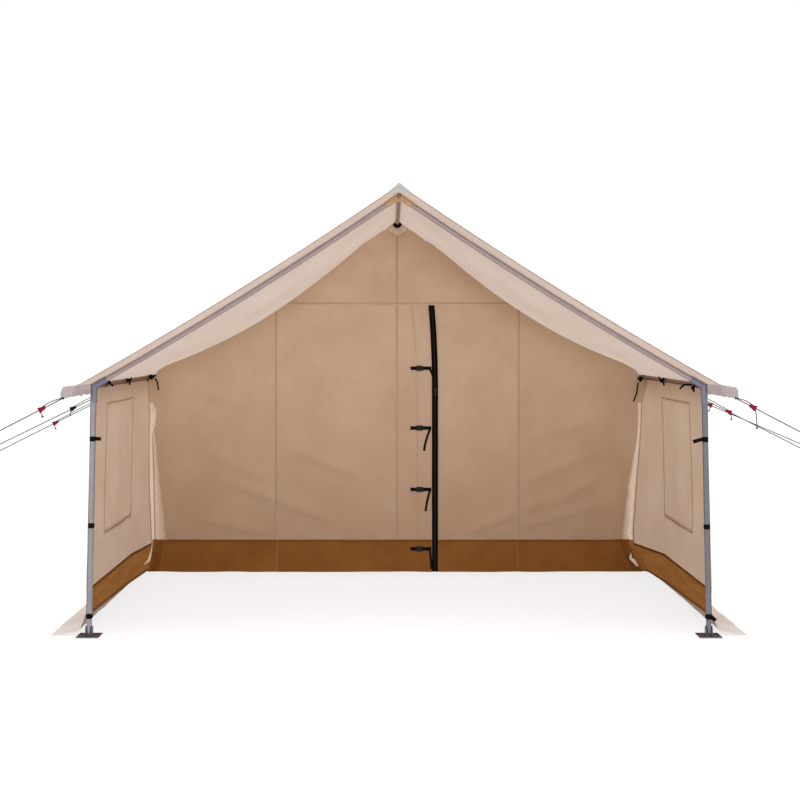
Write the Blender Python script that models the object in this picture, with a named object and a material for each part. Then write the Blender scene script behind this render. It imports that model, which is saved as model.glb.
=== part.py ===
"""Canvas wall tent with an open porch, on an internal frame of aluminium tubes.

Metres, +Z up. The porch opens towards -Y, and the closed room lies behind it.
X = 0 is the ridge, Z = 0 is the ground, Y = 0 is half way along the roof.
"""
import math

import bmesh
import bpy
from mathutils import Matrix, Vector

# Driving sizes of the frame
HALF_WIDTH = 1.83
EAVE_Z = 1.50
RIDGE_Z = 2.64
PORCH_DEPTH = 1.83
ROOM_DEPTH = 3.05
FRONT_OVERHANG = 0.336
REAR_OVERHANG = 0.15
RAFTER_BOW = 0.027
POST_LEAN = 0.029
POST_FOOT_Z = 0.020

# Tubes and the sleeves that join them
TUBE_R = 0.016
TUBE_WALL = 0.0018
SLEEVE_R = 0.019
GAP = 0.0003
ROOF_SEAT = 0.0009
TUBE_START = 0.0205
BORE_START = 0.0195
SLEEVE_BACK = 0.008
POST_SLEEVE = 0.100
RAFTER_SLEEVE = 0.089
POLE_SLEEVE = 0.080
RIDGE_SLEEVE = 0.080
RIDGE_END = 0.018
APEX_SLEEVE = 0.095
GUSSET_REACH = 0.055
GUSSET_T = 0.003
OVERRUN = 0.010
SIDES = 12
SMOOTH_DEGREES = 32

# Gold plate on the front of each ridge fitting
PLATE_HALF = 0.048
PLATE_TOP = 0.012
PLATE_DROP = 0.038
PLATE_T = 0.003

# Feet and their pins
PLATE_X = 0.135
PLATE_Y = 0.120
PLATE_Z = 0.006
RIM = 0.007
RIM_STEP = 0.003
EAR_HALF = 0.018
EAR_T = 0.003
EAR_INNER = 0.0175
EAR_ROOT = 0.002
PIN_Z = 0.045
PIN_R = 0.004
PIN_HEAD_R = 0.0065
PIN_HEAD_T = 0.002

# Cloth
CANVAS = 0.003
SAG_PORCH = 0.150
SAG_SHORT = 0.020
SAG_ROOM = 0.100
EDGE_REACH = 0.045
EDGE_DROP = 0.0185
STRIP_REACH = 0.054
STRIP_DROP = 0.065
FOLD_SIDE = 0.010
FOLD_REAR = 0.014
FOLD_LEAF = 0.006
SIDE_FOLDS = 2
REAR_FOLDS = 6

# Brown splash band and the sod cloth at the bottom of the walls
BAND_TOP = 0.270
BAND_MIDDLE_SHARE = 0.5
DOOR_BAND_TOP = 0.285
DOOR_BOTTOM = 0.050
HEM_FRONT = 0.110
HEM_DOOR = 0.055
HEM_ROOM = 0.095
SOD_REACH = 0.231
SOD_OUT_Z = 0.004
SOD_BEND_REACH = 0.069
SOD_BEND_Z = 0.029
SOD_LAP = 0.020
SOD_BACK = 0.100

# Corners at the door wall, where the cloth is drawn in and daylight shows
CORNER_STEP_LOW = 0.080
CORNER_STEP_HIGH = 0.150
CORNER_STEP_TOP = 0.050
PORCH_PULL_LEFT = (0.0, 0.012, 0.012, 0.004, 0.0)
PORCH_PULL_RIGHT = (0.0, 0.095, 0.100, 0.038, 0.0)
ROOM_PULL_LEFT = (0.012, 0.026, 0.026, 0.020, 0.0)
ROOM_PULL_RIGHT = (0.050, 0.120, 0.125, 0.055, 0.0)
PORCH_WALL_END = 0.035
ROOM_WALL_START = 0.005
PULL_END = 0.120
POLE_NOTCH = 0.0165
POLE_NOTCH_IN = 0.018
POLE_NOTCH_TOP = 0.030

# Windows of the porch walls, from the front truss
WINDOW_NEAR = 0.50
WINDOW_FAR = 1.29
WINDOW_LOW = 0.56
WINDOW_HIGH = 1.36
FLAP_LAP = 0.020

# Door
DOOR_LEFT = -0.895
DOOR_RIGHT = 0.898
DOOR_TOP = 2.035
NOTCH_HALF = 0.030
NOTCH_DROP = 0.035
ZIP_X = 0.281
ZIP_WIDTH = 0.046
ZIP_LEAN = 0.027
ZIP_BEND_Z = 1.40
ZIP_PROUD = 0.001
SLIDER_Z = 1.40
SLIDER_X = 0.284
SLIDER_W = 0.016
SLIDER_H = 0.030
SLIDER_T = 0.006
TAB_W = 0.009
TAB_H = 0.040
TAB_T = 0.0015

# Straps and side-release buckles across the door
STRAP_Z = (1.566, 1.121, 0.664, 0.222)
TAIL_LENGTH = (0.045, 0.158, 0.150, 0.140)
TAIL_SWAY = (0.0, 0.030, 0.018, 0.0)
STRAP_START = 0.097
STRAP_END = 0.254
WEB_H = 0.028
WEB_T = 0.002
WEB_STEP = 0.0016
TAIL_W = 0.018
HOUSING_X = 0.140
HOUSING_L = 0.034
HOUSING_H = 0.038
HOUSING_T = 0.009
HOUSING_WALL = 0.0025
HOUSING_BEVEL = 0.003
TONGUE_L = 0.018
PRONG_L = 0.0215
PRONG_W = 0.004
PRONG_AT = 0.011
TONGUE_T = 0.0034
WEB_LAP = 0.004

# Guy ropes, front to back: place behind the front truss, reach outwards and drop
ROPE_R = 0.0025
KNOT_R = 0.007
ROPE_Y = (-0.310, 0.950, 1.500)
ROPE_REACH_LEFT = (0.431, 0.834, 1.004)
ROPE_REACH_RIGHT = (0.439, 0.854, 1.040)
ROPE_DROP_LEFT = (0.221, 0.409, 0.501)
ROPE_DROP_RIGHT = (0.229, 0.431, 0.445)
TENSIONER_AT_LEFT = (0.135, 0.285, 0.580)
TENSIONER_AT_RIGHT = (0.110, 0.330, 0.330)
TENSIONER_L = 0.042
TENSIONER_H = 0.034
TENSIONER_NOSE = 0.014
TENSIONER_T = 0.012

# Places along Y
FRONT_Y = -(PORCH_DEPTH + ROOM_DEPTH + REAR_OVERHANG - FRONT_OVERHANG) / 2
DOOR_Y = FRONT_Y + PORCH_DEPTH
MID_Y = FRONT_Y + (PORCH_DEPTH + ROOM_DEPTH) / 2
REAR_Y = FRONT_Y + PORCH_DEPTH + ROOM_DEPTH
WALL_END_Y = REAR_Y + SLEEVE_R + GAP

# Heights at which the pulls at the corner are given
CORNER_Z = (
    DOOR_BOTTOM,
    BAND_TOP,
    BAND_TOP + CORNER_STEP_LOW,
    EAVE_Z - CORNER_STEP_HIGH,
    EAVE_Z - CORNER_STEP_TOP,
)

# Shares along a rafter from the ridge to the eave, and along each span of the roof
RAFTER_SHARES = (0.0, 0.045, 0.20, 0.36, 0.50, 0.64, 0.80, 0.957, 1.0)
PORCH_ROW_SHARES = (0.14, 0.30, 0.46, 0.62, 0.80)
ROOM_ROW_SHARES = (0.15, 0.32, 0.50, 0.68, 0.85)

COLOURS = {
    "aluminium": ((0.52, 0.51, 0.60, 1.0), 0.35, 1.0),
    "gold_zinc": ((0.60, 0.38, 0.07, 1.0), 0.35, 1.0),
    "roof_canvas": ((0.66, 0.52, 0.42, 1.0), 0.9, 0.0),
    "wall_canvas": ((0.56, 0.41, 0.30, 1.0), 0.9, 0.0),
    "door_canvas": ((0.48, 0.33, 0.22, 1.0), 0.9, 0.0),
    "splash_band": ((0.18, 0.07, 0.02, 1.0), 0.85, 0.0),
    "sod_cloth": ((0.70, 0.64, 0.55, 1.0), 0.9, 0.0),
    "black_webbing": ((0.008, 0.007, 0.006, 1.0), 0.7, 0.0),
    "black_plastic": ((0.010, 0.009, 0.009, 1.0), 0.4, 0.0),
    "zip_metal": ((0.50, 0.48, 0.45, 1.0), 0.3, 1.0),
    "guy_rope": ((0.07, 0.07, 0.075, 1.0), 0.8, 0.0),
    "red_anodised": ((0.27, 0.02, 0.03, 1.0), 0.35, 0.8),
    "dark_anodised": ((0.02, 0.02, 0.02, 1.0), 0.4, 0.8),
}


def clear_scene():
    for obj in list(bpy.data.objects):
        bpy.data.objects.remove(obj, do_unlink=True)


def material(name):
    found = bpy.data.materials.get(name)
    if found:
        return found
    colour, roughness, metallic = COLOURS[name]
    made = bpy.data.materials.new(name)
    made.use_nodes = True
    shader = made.node_tree.nodes["Principled BSDF"]
    shader.inputs["Base Color"].default_value = colour
    shader.inputs["Roughness"].default_value = roughness
    shader.inputs["Metallic"].default_value = metallic
    made.diffuse_color = colour
    return made


def add_object(name, bm, material_name, origin=(0.0, 0.0, 0.0)):
    """Turn a bmesh in world places into a named object with its origin on a joint axis."""
    bmesh.ops.recalc_face_normals(bm, faces=bm.faces)
    bmesh.ops.translate(bm, verts=bm.verts, vec=-Vector(origin))
    mesh = bpy.data.meshes.new(name)
    bm.to_mesh(mesh)
    bm.free()
    mesh.shade_smooth()
    mesh.set_sharp_from_angle(angle=math.radians(SMOOTH_DEGREES))
    mesh.materials.append(material(material_name))
    obj = bpy.data.objects.new(name, mesh)
    obj.location = origin
    bpy.context.scene.collection.objects.link(obj)
    return obj


def copy_into(target, source, matrix=None):
    """Add a copy of one bmesh to another, moved by a matrix."""
    mesh = bpy.data.meshes.new("copy")
    source.to_mesh(mesh)
    if matrix is not None:
        mesh.transform(matrix)
    target.from_mesh(mesh)
    bpy.data.meshes.remove(mesh)


def combine(base, tool, operation):
    """Boolean of two bmeshes with the EXACT solver; both are used up."""
    pair = []
    for label, bm in (("base", base), ("tool", tool)):
        bmesh.ops.recalc_face_normals(bm, faces=bm.faces)
        mesh = bpy.data.meshes.new(label)
        bm.to_mesh(mesh)
        bm.free()
        obj = bpy.data.objects.new(label, mesh)
        bpy.context.scene.collection.objects.link(obj)
        pair.append(obj)
    modifier = pair[0].modifiers.new("combine", "BOOLEAN")
    modifier.operation = operation
    modifier.solver = "EXACT"
    modifier.object = pair[1]
    bpy.context.view_layer.update()
    evaluated = pair[0].evaluated_get(bpy.context.evaluated_depsgraph_get())
    result = bmesh.new()
    result.from_mesh(evaluated.to_mesh())
    evaluated.to_mesh_clear()
    for obj in pair:
        mesh = obj.data
        bpy.data.objects.remove(obj, do_unlink=True)
        bpy.data.meshes.remove(mesh)
    return result


# Shapes

def rings(points, radii, across, sides):
    """Rings of points round a path; across is never parallel to the path."""
    result = []
    last = len(points) - 1
    for i, point in enumerate(points):
        tangent = (points[min(i + 1, last)] - points[max(i - 1, 0)]).normalized()
        side = Vector(across).cross(tangent).normalized()
        up = tangent.cross(side)
        ring = []
        for k in range(sides):
            angle = 2 * math.pi * k / sides
            ring.append(point + (side * math.cos(angle) + up * math.sin(angle)) * radii[i])
        result.append(ring)
    return result


def skin(bm, ring_list):
    """Quads between rings that follow each other; returns the vertices ring by ring."""
    made = [[bm.verts.new(p) for p in ring] for ring in ring_list]
    for low, high in zip(made, made[1:]):
        count = len(low)
        for k in range(count):
            n = (k + 1) % count
            bm.faces.new((low[k], low[n], high[n], high[k]))
    return made


def rod(bm, points, radius, across, sides=SIDES):
    """A solid round bar; radius is one number or one per point."""
    points = [Vector(p) for p in points]
    radii = radius if isinstance(radius, (list, tuple)) else [radius] * len(points)
    made = skin(bm, rings(points, radii, across, sides))
    bm.faces.new(made[0])
    bm.faces.new(made[-1])
    return bm


def pipe(bm, points, outer, inner, across, sides=SIDES):
    """A round tube with an open bore."""
    points = [Vector(p) for p in points]
    outside = skin(bm, rings(points, [outer] * len(points), across, sides))
    inside = skin(bm, rings(points, [inner] * len(points), across, sides))
    for end in (0, -1):
        for k in range(sides):
            n = (k + 1) % sides
            bm.faces.new((outside[end][k], outside[end][n], inside[end][n], inside[end][k]))
    return bm


def box(bm, low, high):
    """A box between two corners."""
    low = Vector(low)
    high = Vector(high)
    middle = (low + high) / 2
    size = high - low
    matrix = Matrix.Translation(middle) @ Matrix.Diagonal((size.x, size.y, size.z, 1.0))
    bmesh.ops.create_cube(bm, size=1.0, matrix=matrix)
    return bm


def prism(bm, outline, offset):
    """A flat outline swept along an offset."""
    near = [bm.verts.new(Vector(p)) for p in outline]
    far = [bm.verts.new(Vector(p) + Vector(offset)) for p in outline]
    bm.faces.new(near)
    bm.faces.new(far)
    count = len(near)
    for k in range(count):
        n = (k + 1) % count
        bm.faces.new((near[k], near[n], far[n], far[k]))
    return bm


def sheet(bm, rows, offset, holes=()):
    """Closed cloth between a grid of points and the same grid moved by an offset.

    Cells named in holes are left out, and cells squeezed to nothing are skipped.
    """
    keys = {}

    def key_of(point):
        return tuple(round(value * 1e6) for value in point)

    faces = []
    for i in range(len(rows) - 1):
        for j in range(len(rows[i]) - 1):
            if (i, j) in holes:
                continue
            corners = []
            for point in (rows[i][j], rows[i][j + 1], rows[i + 1][j + 1], rows[i + 1][j]):
                key = key_of(point)
                keys.setdefault(key, Vector(point))
                if key not in corners:
                    corners.append(key)
            if len(corners) > 2:
                faces.append(corners)
    near = {key: bm.verts.new(point) for key, point in keys.items()}
    far = {key: bm.verts.new(point + Vector(offset)) for key, point in keys.items()}
    edges = set()
    for corners in faces:
        for k, key in enumerate(corners):
            edges.add((key, corners[(k + 1) % len(corners)]))
        bm.faces.new([near[key] for key in corners])
        bm.faces.new([far[key] for key in reversed(corners)])
    for first, second in edges:
        if (second, first) not in edges:
            bm.faces.new((near[second], near[first], far[first], far[second]))
    bmesh.ops.triangulate(bm, faces=bm.faces)
    return bm


def blend_between(stations, values, at):
    """Straight-line reading of a table."""
    if at <= stations[0]:
        return values[0]
    for k in range(len(stations) - 1):
        if at <= stations[k + 1]:
            share = (at - stations[k]) / (stations[k + 1] - stations[k])
            return values[k] + share * (values[k + 1] - values[k])
    return values[-1]


# Frame geometry

def rafter_point(share):
    """X and Z of the rafter's axis at a share of the way from ridge to eave."""
    drop = (RIDGE_Z - EAVE_Z) * share + 4 * RAFTER_BOW * share * (1 - share)
    return HALF_WIDTH * share, RIDGE_Z - drop


def rafter_slope(share):
    return ((RIDGE_Z - EAVE_Z) + 4 * RAFTER_BOW * (1 - 2 * share)) / HALF_WIDTH


def post_x(z):
    return HALF_WIDTH + POST_LEAN * (EAVE_Z - z) / (EAVE_Z - POST_FOOT_Z)


def rafter_direction(ridge_end):
    """Unit direction of the tube inside its sleeve, away from the fitting, right side."""
    near, far = (0, 1) if ridge_end else (-1, -2)
    x0, z0 = rafter_point(RAFTER_SHARES[near])
    x1, z1 = rafter_point(RAFTER_SHARES[far])
    return Vector((x1 - x0, 0.0, z1 - z0)).normalized()


def post_direction():
    return Vector((POST_LEAN, 0.0, POST_FOOT_Z - EAVE_Z)).normalized()


RIDGE_NODE = Vector((0.0, 0.0, RIDGE_Z))
EAVE_NODE = Vector((HALF_WIDTH, 0.0, EAVE_Z))
ALONG_Y = (0.0, 1.0, 0.0)
ALONG_Z = (0.0, 0.0, 1.0)


def placed(side, y):
    """Matrix that mirrors a right-hand piece to a side and moves it to a truss."""
    return Matrix.Translation((0.0, y, 0.0)) @ Matrix.Diagonal((side, 1.0, 1.0, 1.0))


def make_post():
    """Right-hand post in the plane Y = 0, with the pin that its foot turns on."""
    down = post_direction()
    top = EAVE_NODE + down * TUBE_START
    bottom = Vector((HALF_WIDTH + POST_LEAN, 0.0, POST_FOOT_Z))
    tube = pipe(bmesh.new(), [top, bottom], TUBE_R, TUBE_R - TUBE_WALL, ALONG_Y)
    return combine(tube, make_pin(), "UNION")


def make_pin():
    """Pin through the post and the foot's ears, with a head at each end."""
    x0 = post_x(PIN_Z)
    seat = EAR_INNER + EAR_T + GAP
    end = seat + PIN_HEAD_T
    stations = (-end, -seat, -seat, seat, seat, end)
    radii = (PIN_HEAD_R, PIN_HEAD_R, PIN_R, PIN_R, PIN_HEAD_R, PIN_HEAD_R)
    ring_list = []
    for station, radius in zip(stations, radii):
        ring = []
        for k in range(8):
            angle = 2 * math.pi * k / 8
            ring.append((x0 + station, radius * math.sin(angle), PIN_Z + radius * math.cos(angle)))
        ring_list.append(ring)
    bm = bmesh.new()
    made = skin(bm, ring_list)
    bm.faces.new(made[0])
    bm.faces.new(made[-1])
    return bm


def make_rafter():
    """Right-hand rafter in the plane Y = 0, bowed down by the weight of the roof."""
    points = []
    for share in RAFTER_SHARES:
        x, z = rafter_point(share)
        points.append(Vector((x, 0.0, z)))
    points[0] = points[0] + rafter_direction(True) * TUBE_START
    points[-1] = points[-1] + rafter_direction(False) * TUBE_START
    return pipe(bmesh.new(), points, TUBE_R, TUBE_R - TUBE_WALL, ALONG_Y)


def bored_sleeves(node, sleeves, extra):
    """Sleeves that start at a node, joined to extra plates, then bored for their tubes.

    Each sleeve is a direction, its length, how far behind the node it starts, an across
    vector that lines its flats up with the tube's, and where its bore starts, or None.
    """
    body = None
    for direction, length, back, across, bore_from in sleeves:
        part = rod(
            bmesh.new(),
            [node - direction * back, node + direction * length],
            SLEEVE_R,
            across,
        )
        body = part if body is None else combine(body, part, "UNION")
    for part in extra:
        body = combine(body, part, "UNION")
    for direction, length, back, across, bore_from in sleeves:
        if bore_from is None:
            continue
        ends = [node + direction * bore_from, node + direction * (length + OVERRUN)]
        bore = rod(bmesh.new(), ends, TUBE_R + GAP, across)
        body = combine(body, bore, "DIFFERENCE")
    return body


def make_eave_fitting(pole_low, pole_high, post):
    """Right-hand corner fitting: post, rafter and eave pole sleeves with a gusset.

    The eave pole's sleeve runs from pole_low to pole_high along Y. Where a post is
    given, it is joined to the fitting, and its sleeve isn't bored.
    """
    down = post_direction()
    up = rafter_direction(False)
    post_bore = BORE_START if post is None else None
    forward = Vector((0.0, 1.0, 0.0))
    sleeves = [
        (forward, pole_high, -pole_low, ALONG_Z, None),
        (up, RAFTER_SLEEVE, SLEEVE_BACK, ALONG_Y, BORE_START),
        (down, POST_SLEEVE, SLEEVE_BACK, ALONG_Y, post_bore),
    ]
    half = Vector((0.0, GUSSET_T / 2, 0.0))
    corners = [EAVE_NODE - half, EAVE_NODE + down * GUSSET_REACH - half]
    corners.append(EAVE_NODE + up * GUSSET_REACH - half)
    gusset = prism(bmesh.new(), corners, (0.0, GUSSET_T, 0.0))
    body = bored_sleeves(EAVE_NODE, sleeves, [gusset])
    if post is not None:
        body = combine(body, post.copy(), "UNION")
    low = EAVE_NODE + forward * (pole_low - OVERRUN if pole_low < 0 else BORE_START)
    high = EAVE_NODE + forward * (pole_high + OVERRUN if pole_high > 0 else -BORE_START)
    bore = rod(bmesh.new(), [low, high], TUBE_R + GAP, ALONG_Z)
    return combine(body, bore, "DIFFERENCE")


def make_ridge_fitting(low, high, bored):
    """Ridge fitting: two rafter sleeves, and one for the ridge pole from low to high.

    Where it isn't bored for the rafters, they are joined to it instead.
    """
    right = rafter_direction(True)
    left = Vector((-right.x, 0.0, right.z))
    ends = [RIDGE_NODE + Vector((0.0, low, 0.0)), RIDGE_NODE + Vector((0.0, high, 0.0))]
    body = rod(bmesh.new(), ends, SLEEVE_R, ALONG_Z)
    for direction in (right, left):
        sleeve = rod(bmesh.new(), [RIDGE_NODE, RIDGE_NODE + direction * APEX_SLEEVE], SLEEVE_R, ALONG_Y)
        body = combine(body, sleeve, "UNION")
    outline = [
        RIDGE_NODE + Vector((0.0, -RIDGE_END, PLATE_TOP)),
        RIDGE_NODE + Vector((PLATE_HALF, -RIDGE_END, -PLATE_DROP)),
        RIDGE_NODE + Vector((-PLATE_HALF, -RIDGE_END, -PLATE_DROP)),
    ]
    body = combine(body, prism(bmesh.new(), outline, (0.0, PLATE_T, 0.0)), "UNION")
    for side, direction in ((1, right), (-1, left)):
        if bored:
            near = RIDGE_NODE + direction * BORE_START
            far = RIDGE_NODE + direction * (APEX_SLEEVE + OVERRUN)
            bore = rod(bmesh.new(), [near, far], TUBE_R + GAP, ALONG_Y)
            body = combine(body, bore, "DIFFERENCE")
        else:
            rafter = bmesh.new()
            source = make_rafter()
            copy_into(rafter, source, placed(side, 0.0))
            source.free()
            body = combine(body, rafter, "UNION")
    reach = RIDGE_SLEEVE + OVERRUN
    ends = [RIDGE_NODE - Vector((0.0, reach, 0.0)), RIDGE_NODE + Vector((0.0, reach, 0.0))]
    bore = rod(bmesh.new(), ends, TUBE_R + GAP, ALONG_Z)
    return combine(body, bore, "DIFFERENCE")


def make_foot():
    """Foot about its pin's place on the right-hand post: rimmed plate and two bored ears."""
    x0 = post_x(PIN_Z)
    plate = box(
        bmesh.new(),
        (x0 - PLATE_X / 2, -PLATE_Y / 2, 0.0),
        (x0 + PLATE_X / 2, PLATE_Y / 2, PLATE_Z),
    )
    top = [f for f in plate.faces if f.calc_center_median().z > PLATE_Z - GAP]
    bmesh.ops.inset_region(plate, faces=top, thickness=RIM)
    inner = [f for f in plate.faces if len(f.verts) == 4 and f.normal.z > 0.9]
    inner.sort(key=lambda f: -f.calc_area())
    for vert in inner[0].verts:
        vert.co.z -= RIM_STEP
    for sign in (-1, 1):
        near = x0 + sign * EAR_INNER
        outline = [(near, -EAR_HALF, EAR_ROOT), (near, EAR_HALF, EAR_ROOT)]
        for k in range(7):
            angle = math.pi * k / 6
            place = (near, EAR_HALF * math.cos(angle), PIN_Z + EAR_HALF * math.sin(angle))
            outline.append(place)
        ear = prism(bmesh.new(), outline, (sign * EAR_T, 0.0, 0.0))
        plate = combine(plate, ear, "UNION")
    reach = EAR_INNER + EAR_T + OVERRUN
    ends = [(x0 - reach, 0.0, PIN_Z), (x0 + reach, 0.0, PIN_Z)]
    hole = rod(bmesh.new(), ends, PIN_R + GAP, ALONG_Y, 8)
    return combine(plate, hole, "DIFFERENCE")


TRUSSES = (("front", FRONT_Y), ("middle", MID_Y), ("rear", REAR_Y))


SIDE_NAMES = (("left", -1), ("right", 1))


def build_frame():
    """Front truss in separate tubes and fittings; the hidden room trusses in three each."""
    post = make_post()
    rafter = make_rafter()
    corner = make_eave_fitting(0.0, POLE_SLEEVE, None)
    for side_name, side in SIDE_NAMES:
        for label, source in (("post", post), ("rafter", rafter), ("eave_fitting", corner)):
            bm = bmesh.new()
            copy_into(bm, source, placed(side, FRONT_Y))
            add_object(f"{label}_front_{side_name}", bm, "aluminium")
    bm = bmesh.new()
    copy_into(bm, make_ridge_fitting(-RIDGE_END, RIDGE_SLEEVE, True), placed(1, FRONT_Y))
    add_object("ridge_fitting_front", bm, "gold_zinc")
    rooms = (
        ("middle", MID_Y, -POLE_SLEEVE, POLE_SLEEVE, -RIDGE_SLEEVE, RIDGE_SLEEVE),
        ("rear", REAR_Y, -POLE_SLEEVE, 0.0, -RIDGE_SLEEVE, RIDGE_END),
    )
    for label, y, pole_low, pole_high, ridge_low, ridge_high in rooms:
        joined = make_eave_fitting(pole_low, pole_high, post)
        for side_name, side in SIDE_NAMES:
            bm = bmesh.new()
            copy_into(bm, joined, placed(side, y))
            add_object(f"post_{label}_{side_name}", bm, "aluminium")
        bm = bmesh.new()
        copy_into(bm, make_ridge_fitting(ridge_low, ridge_high, False), placed(1, y))
        add_object(f"rafters_{label}", bm, "aluminium")
    ends = [(0.0, FRONT_Y - RIDGE_END, RIDGE_Z), (0.0, REAR_Y + RIDGE_END, RIDGE_Z)]
    add_object("ridge_pole", pipe(bmesh.new(), ends, TUBE_R, TUBE_R - TUBE_WALL, ALONG_Z), "aluminium")
    for side_name, side in SIDE_NAMES:
        x = side * HALF_WIDTH
        ends = [(x, FRONT_Y + TUBE_START, EAVE_Z), (x, REAR_Y - TUBE_START, EAVE_Z)]
        tube = pipe(bmesh.new(), ends, TUBE_R, TUBE_R - TUBE_WALL, ALONG_Z)
        add_object(f"eave_pole_{side_name}", tube, "aluminium")


def build_feet():
    foot = make_foot()
    for truss, y in TRUSSES:
        for side_name, side in SIDE_NAMES:
            bm = bmesh.new()
            copy_into(bm, foot, placed(side, y))
            origin = (side * post_x(PIN_Z), y, PIN_Z)
            add_object(f"foot_{truss}_{side_name}", bm, "aluminium", origin)


# Roof

def roof_columns():
    """X of the roof's columns and the height of its underside over a truss."""
    xs = []
    zs = []
    for share in RAFTER_SHARES:
        x, z = rafter_point(share)
        slope = rafter_slope(share)
        xs.append(x)
        zs.append(z + (SLEEVE_R + ROOF_SEAT) * math.sqrt(1 + slope * slope))
    xs.append(HALF_WIDTH + EDGE_REACH)
    zs.append(zs[-1] - EDGE_DROP)
    return xs, zs


ROOF_X, ROOF_Z = roof_columns()
STRIP_X = ROOF_X[-1] + STRIP_REACH
STRIP_Z = ROOF_Z[-1] - STRIP_DROP


def roof_base(x):
    return blend_between(ROOF_X, ROOF_Z, abs(x))


def sag(x, y):
    """How far the cloth hangs below the line over the trusses."""
    if abs(x) >= HALF_WIDTH:
        return 0.0
    for low, high, depth in (
        (FRONT_Y, DOOR_Y, SAG_PORCH),
        (DOOR_Y, MID_Y, SAG_SHORT),
        (MID_Y, REAR_Y, SAG_ROOM),
    ):
        if low < y < high:
            along = math.sin(math.pi * (y - low) / (high - low))
            return depth * along * math.sin(math.pi * abs(x) / HALF_WIDTH)
    return 0.0


def row_places(low, high, shares):
    return [low + (high - low) * share for share in shares]


ROOF_ROWS = [FRONT_Y - FRONT_OVERHANG, FRONT_Y - FRONT_OVERHANG / 2, FRONT_Y]
ROOF_ROWS += row_places(FRONT_Y, DOOR_Y, PORCH_ROW_SHARES)
ROOF_ROWS += [DOOR_Y, (DOOR_Y + MID_Y) / 2, MID_Y]
ROOF_ROWS += row_places(MID_Y, REAR_Y, ROOM_ROW_SHARES)
ROOF_ROWS += [REAR_Y, REAR_Y + REAR_OVERHANG]


def build_roof():
    """Two slopes from the ridge seam down to the eave strips with the rope eyes."""
    for side_name, side in SIDE_NAMES:
        rows = []
        for y in ROOF_ROWS:
            row = []
            for x, z in zip(ROOF_X, ROOF_Z):
                row.append((side * max(x, GAP / 2), y, z - sag(x, y)))
            row.append((side * (STRIP_X - STRIP_REACH / 2), y, ROOF_Z[-1] - STRIP_DROP / 3))
            row.append((side * STRIP_X, y, STRIP_Z))
            rows.append(row)
        bm = sheet(bmesh.new(), rows, (0.0, 0.0, CANVAS))
        add_object(f"roof_{side_name}", bm, "roof_canvas")


# Walls

def wall_x(z):
    """Inner face of a side wall, just outside the posts."""
    return post_x(z) + SLEEVE_R + GAP


WALL_TOP = roof_base(wall_x(EAVE_Z) + CANVAS) - GAP


def hem_z(y):
    """Height of the bottom edge of the side walls."""
    places = (FRONT_Y, DOOR_Y, MID_Y, REAR_Y)
    return blend_between(places, (HEM_FRONT, HEM_DOOR, HEM_ROOM, HEM_ROOM), y)


def pull(side, y, z):
    """How far the cloth is drawn in near the corner of the door wall."""
    if y <= DOOR_Y:
        start = FRONT_Y + WINDOW_FAR + FLAP_LAP
        share = max(0.0, (y - start) / (DOOR_Y - PORCH_WALL_END - start))
        table = PORCH_PULL_LEFT if side < 0 else PORCH_PULL_RIGHT
    else:
        end = MID_Y - PULL_END
        share = max(0.0, (end - y) / (end - DOOR_Y - ROOM_WALL_START))
        table = ROOM_PULL_LEFT if side < 0 else ROOM_PULL_RIGHT
    return min(share, 1.0) * blend_between(CORNER_Z, table, z)


def side_fold(y, z):
    """Outward folds, none at the eave, the band, the trusses and the corner."""
    if z <= BAND_TOP or z >= EAVE_Z:
        return 0.0
    low, high = (FRONT_Y, DOOR_Y) if y < DOOR_Y else (MID_Y, REAR_Y)
    if not low < y < high:
        return 0.0
    along = math.sin(math.pi * SIDE_FOLDS * (y - low) / (high - low)) ** 2
    return FOLD_SIDE * along * math.sin(math.pi * (z - BAND_TOP) / (EAVE_Z - BAND_TOP))


def side_point(side, y, z, out=0.0):
    x = wall_x(z) - pull(side, y, z) + side_fold(y, z) + out
    return (side * x, y, z)


PORCH_WALL_Y = [FRONT_Y, FRONT_Y + WINDOW_NEAR / 2, FRONT_Y + WINDOW_NEAR - FLAP_LAP]
PORCH_WALL_Y += [FRONT_Y + WINDOW_NEAR]
PORCH_WALL_Y += row_places(FRONT_Y + WINDOW_NEAR, FRONT_Y + WINDOW_FAR, (1 / 3, 2 / 3, 1.0))
PORCH_WALL_Y += [FRONT_Y + WINDOW_FAR + FLAP_LAP]
PORCH_WALL_Y += row_places(FRONT_Y + WINDOW_FAR + FLAP_LAP, DOOR_Y - PORCH_WALL_END, (0.5, 1.0))
ROOM_WALL_Y = [DOOR_Y + ROOM_WALL_START, (DOOR_Y + MID_Y) / 2, MID_Y - PULL_END, MID_Y]
ROOM_WALL_Y += row_places(MID_Y, REAR_Y, (1 / 8, 2 / 8, 3 / 8, 4 / 8, 5 / 8, 6 / 8, 7 / 8, 1.0))
ROOM_WALL_Y += [WALL_END_Y]
WALL_LEVELS = [BAND_TOP + GAP, 0.5 * (BAND_TOP + WINDOW_LOW), WINDOW_LOW - FLAP_LAP, WINDOW_LOW]
WALL_LEVELS += row_places(WINDOW_LOW, WINDOW_HIGH, (1 / 3, 2 / 3, 1.0))
WALL_LEVELS += [WINDOW_HIGH + FLAP_LAP, CORNER_Z[-1], WALL_TOP]
ROOM_LEVELS = row_places(BAND_TOP, CORNER_Z[-1], (0.15, 0.4, 0.65, 0.85, 1.0)) + [WALL_TOP]


def hem_row(side, ys, share):
    """Points at a share of the way from the bottom edge to the top of the band."""
    row = []
    for y in ys:
        z = hem_z(y) + share * (BAND_TOP - hem_z(y))
        row.append(side_point(side, y, z))
    return row


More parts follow.
